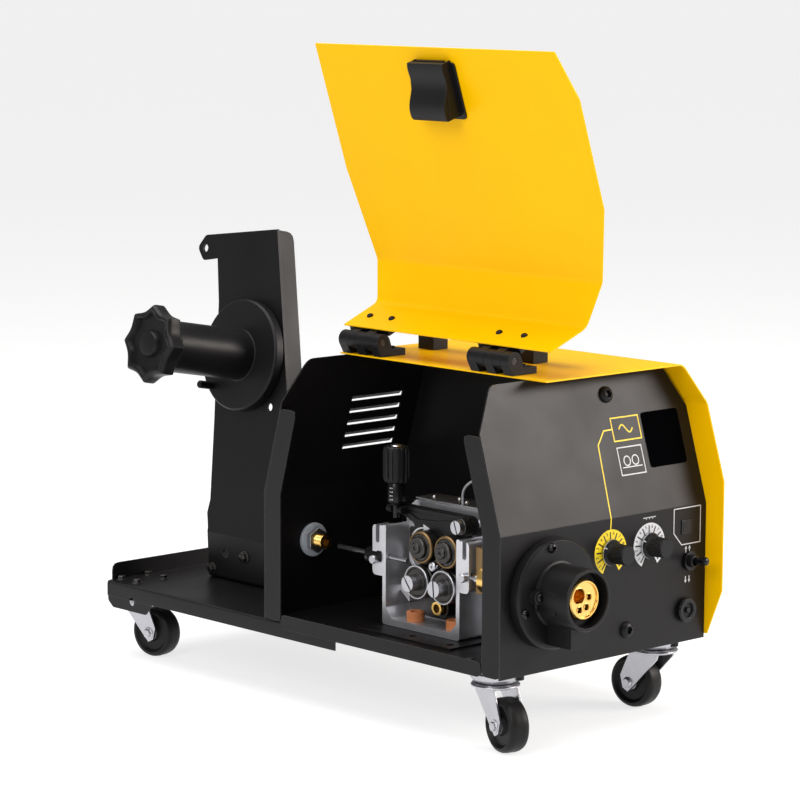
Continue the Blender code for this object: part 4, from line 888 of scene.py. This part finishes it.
def tension_and_arm():
    """The tension unit's collar and knob, and the pressure arm's pivot, mark and ribs."""
    place = upward(WIRE_X, 200, 120)
    stem = [(0, 29), (3, 29), (3, 25.8), (8.0, 25.8), (8.5, 25.0), (8.5, 7.6), (7.6, 6.6), (7.0, 5.4),
            (6.2, 4.2), (3, 4.2), (3, -8), (0, -8)]
    piece("tension_collar", GLOSSY, "tension_unit", [(turned(stem, 56), place)], replaces=("tension_stem",))
    marks = []
    for i in range(4):
        for k, a in enumerate((radians(186), radians(200))):
            marks.append((collar_mark(10.0 + 3.6 * i, a, 3 if (i + k) % 2 else 2), place))
    piece("tension_scale_marks", PRINT_WHITE, "tension_unit", marks)

    flutes = [0, 0, 0, 0.45, 0.75, 0.75, 0.75, 0.45, 0, 0, 0, 0, 0, 0, 0]
    rings = [(3.4, 26), (10.6, 26), (11.4, 26.8), (11.7, 29), (11.7, 32), (11.7, 44), (11.7, 54),
             (11.6, 57.2), (11.2, 58.6), (9.6, 59.8), (7.6, 60), (6.6, 58.4), (0, 58.2), (0, 30), (3.4, 30)]
    knob = turned(rings, 144, ring=True, ripple=lambda i, a: flutes[i] * (1 if cos(14 * a) > 0.1 else -0.9))
    piece("tension_grip", PLASTIC, "tension_knob", [(knob, place)], replaces=("tension_knob",))
    cap = turned([(0, 60.8), (4.6, 60.8), (5.6, 59.8), (5.6, 57.6), (0, 57.6)], 40)
    piece("tension_knob_cap", ZINC, "tension_knob", [(cap, place)], bevel=0.2)

    screw = facing((-48.3, 113, 115), -X)
    shank = rod(4.1, 28, 0)
    sleeve = turned([(4.3, 27), (7.4, 27), (7.9, 26.2), (7.9, 19.2), (4.3, 19.2)], 48, ring=True)
    piece("arm_pivot_sleeve", DARK_STEEL, "root", [(sleeve, screw)], bevel=0.3)
    spin = screw @ Matrix.Translation((0, 0, 27.2 * MM)) @ Matrix.Rotation(radians(20), 4, "Z")
    piece("arm_pivot_cap", ZINC, "root", [(shank, screw), (slot_head(6.5, 5.6, 1.4), spin)], bevel=0.25,
          replaces=("arm_pivot_screw",))
    arc = [(170.4 + 18.6 * cos(radians(a)), 87 + 18.6 * sin(radians(a))) for a in range(30, 91, 5)]
    inner = [(170.4 + 17.2 * cos(radians(a)), 87 + 17.2 * sin(radians(a))) for a in range(90, 29, -5)]
    place = side_plane(-66.25)
    head = [(171.0, 108.6), (170.6, 101.6), (162.4, 105.4)]
    piece("arm_direction_mark", PRINT_WHITE, "pressure_arm",
          [(prism(arc + inner, 0, 0.3), place), (prism(head, 0, 0.3), place)])
    cheeks = rounded([(108, 120.2), (206, 120.4), (206, 123.2), (108, 122.8)], 1.2)
    place = side_plane(-68.6)
    lip = [(prism(cheeks, 0, 2.8), place)]
    rib = rounded([(120, 117), (150, 112), (178, 110), (196, 117.5), (196, 119.2), (177, 112.4), (150, 114.2),
                   (121, 119.0)], 0.8)
    lip.append((prism(rib, 1.2, 2.8), place))
    piece("arm_ribs", PLASTIC, "pressure_arm", lip, bevel=0.3)


def wire_path_detail():
    """The inlet fitting with washer and nut, the guides, the outlet block and two fixed leads."""
    inlet = facing((-75, REAR_Y, 75), -Y)
    washer = rounded([(6.4, 1.6), (16.2, 1.6), (16.4, 2.4), (16.4, 4.6), (15.6, 5.2), (6.4, 5.2)], 0.5,
                     steps=2)
    bar = [(turned(washer, 64, ring=True), inlet),
           (tube(5.9, 8, 2, -12), inlet)]
    piece("inlet_washer", GREY, "root", bar, bevel=0.2)
    nut = prism(hexagon(12.4, pi / 6), 5.3, 10.6)
    piece("inlet_nut", ZINC, "root", [(nut, inlet)], bevel=0.6)
    thread = []
    h = 10.4
    while h < 18:
        thread += [(6.4, h), (6.0, h + 0.5), (6.4, h + 1.0)]
        h += 1.1
    fitting = thread + [(5.8, 18.6), (5.8, 19.2), (7.0, 19.6), (7.4, 20.2), (7.0, 20.9), (3.8, 21.0),
                        (3.8, -12), (5.8, -12), (5.8, 8)]
    piece("inlet_fitting", BRASS, "root", [(turned(fitting, 56, ring=True), inlet)],
          replaces=("wire_inlet_fitting",))
    holder = turned([(2.4, 24), (5.6, 24), (6.4, 22.4), (6.4, 8), (7.2, 6), (7.2, 0.4), (2.4, 0.4)], 40,
                    ring=True)
    guide = [(holder, facing((WIRE_X, 214, WIRE_Z), Y))]
    piece("inlet_guide_holder", PLASTIC, "root", guide, bevel=0.4)
    eye = [(turned([(1.1, 4.6), (3.6, 4.6), (4.6, 3.6), (4.6, 0), (1.1, 0)], 40, ring=True),
            facing((WIRE_X, 147, WIRE_Z), -X))]
    piece("middle_guide_eye", ZINC, "root", eye, bevel=0.3)
    block_part = prism(rounded(rectangle(-74.2, 74, -48, 94), 2), 56, 99)
    piece("outlet_brass_block", DULL_BRASS, "root", [(block_part, BASE)], bevel=0.5)
    upper = [(-40, 145.3, 122), (-40, 145.6, 131), (-40, 147.4, 140), (-40, 135, 152), (-38, 112, 156),
             (-35, 76, 148), (-31, 40, 128), (-28, 12, 118)]
    lower = [(-20, 110, 129), (-22, 98, 137), (-30, 84, 140), (-36, 60, 132), (-34, 34, 120), (-30, 12, 112)]
    bent_tube("motor_lead", upper, 1.2, CABLE_GREY, "root")
    bent_tube("motor_lead_low", lower, 1.7, CABLE_GREY, "root")


# ---------------------------------------------------------------- panel fittings

def torch_detail():
    """The torch socket: brass insert with its holes, sleeve, a recess floor in near-black painted shade and
    flange screws.
    """
    x, z = TORCH
    place = facing((x, 0, z), -Y)
    profile = [(0, 42.4), (15.4, 42.4), (16.0, 44.0), (17.1, 44), (18.2, 42.8), (18.2, -6), (13, -6),
               (13, -80), (2.4, -80), (2.4, -96), (0, -96)]
    brass = piece("torch_insert_brass", BRASS, "root", [(turned(profile, 72), place)],
                  replaces=("torch_socket_insert",))
    holes = [(facing((x + dx, 0, z + dz), -Y), radius) for dx, dz, radius in TORCH_HOLES]
    carve(brass, [(rod(radius, 60, 20, 36), hole) for hole, radius in holes])
    soften(brass, 0.2)
    lips = [(turned([(r + 0.7, 42.3), (r + 0.7, 42.8), (r + 0.1, 43.0), (r + 0.1, 42.3)], 36, ring=True),
             hole) for hole, r in holes]
    pin = turned([(0, 40.5), (1.0, 40.5), (1.3, 39.8), (1.3, 19), (0, 19)], 20)
    pins = [(pin, hole) for hole, _ in holes[1:]]
    piece("torch_contact_lips", BRASS, "root", lips + pins, bevel=0.1)
    sleeve = rounded([(24.9, 48.4), (27.4, 48.4), (28.1, 47.4), (28.1, 12), (30.2, 11.2), (30.2, 10.9),
                      (26.9, 10.9), (26.9, 46.4), (24.9, 46)], 0.5, steps=3)
    ring = rounded([(27.5, 11.2), (48.2, 11.2), (50.2, 9.4), (50.3, 0.3), (27.5, 0.3)], 0.8, steps=3)
    rings = [(turned(sleeve, 80, ring=True), place), (turned(ring, 96, ring=True), place)]
    boss = facing((-102.5, 0, 73), -Y)
    rings.append((turned([(0, 17.5), (5.2, 17.5), (6.0, 16.7), (6.2, 10.0), (0, 10.0)], 40), boss))
    piece("torch_sleeve_rings", PLASTIC, "root", rings)
    floor = tube(18.5, 24.6, 36.0, 35.2, 64)
    # The recess floor is near-black painted shade for the depth of the socket.
    piece("torch_recess_shade_floor", PAINTED_VOID_SHADE, "root", [(floor, place)])
    screws = [(pan_head(4.6, 4.0), facing((x + 44 * cos(radians(a)), -11.1, z + 44 * sin(radians(a))), -Y))
              for a in (12, 102, 196, 286)]
    screws.append((pan_head(4.0, 2.4), facing((-102.5, -17.4, 73), -Y)))
    piece("torch_flange_screws", GLOSSY, "root", screws)


def control_detail():
    """The dials' knobs, pointers and skirts, the toggle switch and the front socket."""
    waves = [0, 0, 0.22, 0.22, 0.22] + [0] * 7
    rings = [(0, 22.4), (8.2, 22.4), (8.9, 21.4), (9.1, 12), (9.5, 5.6), (10.2, 4.6), (11.4, 4.0),
             (12.0, 3.2), (12.0, 1.3), (3, 1.3), (3, -22), (0, -22)]
    knob = turned(rings, 120, ripple=lambda i, a: waves[i] * cos(30 * a))
    pointer = prism(rectangle(-0.55, 9.4, 0.55, 12.1), 3.0, 4.6)
    skirt = turned([(10.8, 3.6), (12.2, 2.6), (12.2, 1.4), (10.8, 1.4)], 80, ring=True)
    for which, x in DIALS.items():
        name = f"{which}_dial"
        place = facing((x, 0, DIAL_Z), -Y)
        turn = place @ Matrix.Rotation(radians(62), 4, "Z")
        piece(f"{name}_knob", PLASTIC, name, [(knob, place)], replaces=(name,))
        piece(f"{name}_pointer", PRINT_WHITE, name, [(pointer, turn)], bevel=0.1)
        piece(f"{name}_skirt", ZINC, name, [(skirt, place)], bevel=0.15)
    x, z = TOGGLE
    collar = turned([(5.9, 3.4), (9.2, 3.4), (9.4, 3.0), (9.4, 0.9), (5.9, 0.9)], 48, ring=True)
    piece("toggle_nut", GLOSSY, "root", [(collar, facing((x, 0, z), -Y))], bevel=0.2)
    swing = facing((x, -2, z), -Y) @ Matrix.Rotation(radians(-6), 4, "X")
    lever = [(0, 20.6), (2.2, 20.4), (3.6, 19.4), (4.1, 17.4), (3.8, 14), (2.8, 8), (2.2, 5), (1.8, -1),
             (0, -1.6)]
    piece("toggle_bat", GLOSSY, "toggle", [(turned(lever, 32), swing)], replaces=("toggle_lever",))
    port = facing((106.9, 0, 30.5), -Y)
    rim = rounded([(6.6, 3.2), (7.4, 5.2), (10.6, 5.2), (11.6, 4.2), (11.6, 0.4), (6.6, 0.4)], 0.5, steps=2)
    ring = [(turned(rim, 56, ring=True), port),
            (turned([(0, 5.6), (2.2, 5.6), (2.6, 5.0), (2.6, 2.8), (0, 2.8)], 32), port)]
    piece("front_port_ring", GLOSSY, "root", ring)


def rear_detail():
    """The current connector, control socket and gas inlet on the rear panel."""
    place = facing((78, REAR_Y, 45), Y)
    body = [(0, 24), (5.2, 24), (5.2, 30), (7.4, 30), (8, 29.2), (8, 6), (15.8, 6), (17, 5), (17, 0.3),
            (14, 0.3), (14, -18), (0, -18)]
    piece("current_connector_body", BRASS, "root", [(turned(body, 64), place)], bevel=0.3,
          replaces=("current_connector",))
    ring = [(turned([(17.2, 7.4), (21, 7.4), (22, 6.2), (22, 0.3), (17.2, 0.3)], 64, ring=True), place)]
    piece("current_connector_shroud", PLASTIC, "root", ring, bevel=0.5)
    place = facing((100, REAR_Y, 98), Y)
    shell = [(0, 4), (9, 4), (9, 12), (10, 12.4), (12, 12.2), (12, 5), (15.4, 5), (16, 4.4), (16, 0.3),
             (12, 0.3), (12, -12), (0, -12)]
    piece("control_socket_shell", ZINC, "root", [(turned(shell, 64), place)], bevel=0.25,
          replaces=("rear_control_socket",))
    pin = turned([(0, 9), (1.0, 8.6), (1.1, 3.9), (0, 3.9)], 16)
    pins = [(pin, place @ Matrix.Translation(Vector((*offset, 0)) * MM)) for offset in hexagon(5.4)]
    piece("control_socket_pins", BRASS, "root", pins)
    place = facing((62, REAR_Y, 92), Y)
    barb = [(0, 26), (3.0, 26), (4.3, 22.4), (3.0, 21.6), (3.0, 20), (4.3, 16.4), (3.0, 15.6), (3.0, 8),
            (8.4, 8), (9, 7.4), (9, 0.3), (5, 0.3), (5, -14), (0, -14)]
    piece("gas_inlet_barb", BRASS, "root", [(turned(barb, 48), place)], bevel=0.25,
          replaces=("gas_inlet_nipple",))
    hexa = prism(hexagon(9.6), 0.4, 6.4)
    piece("gas_inlet_nut", BRASS, "root", [(hexa, place)], bevel=0.5)


# ---------------------------------------------------------------- assembly

camera()
studio()
finish_cad_nodes()
panel_prints()
case_screws()
louvres()
hinge_and_door_detail()
spool_hub()
tray_detail()
caster_detail()
rolls()
drive_body()
drive_fittings()
tension_and_arm()
wire_path_detail()
torch_detail()
control_detail()
rear_detail()
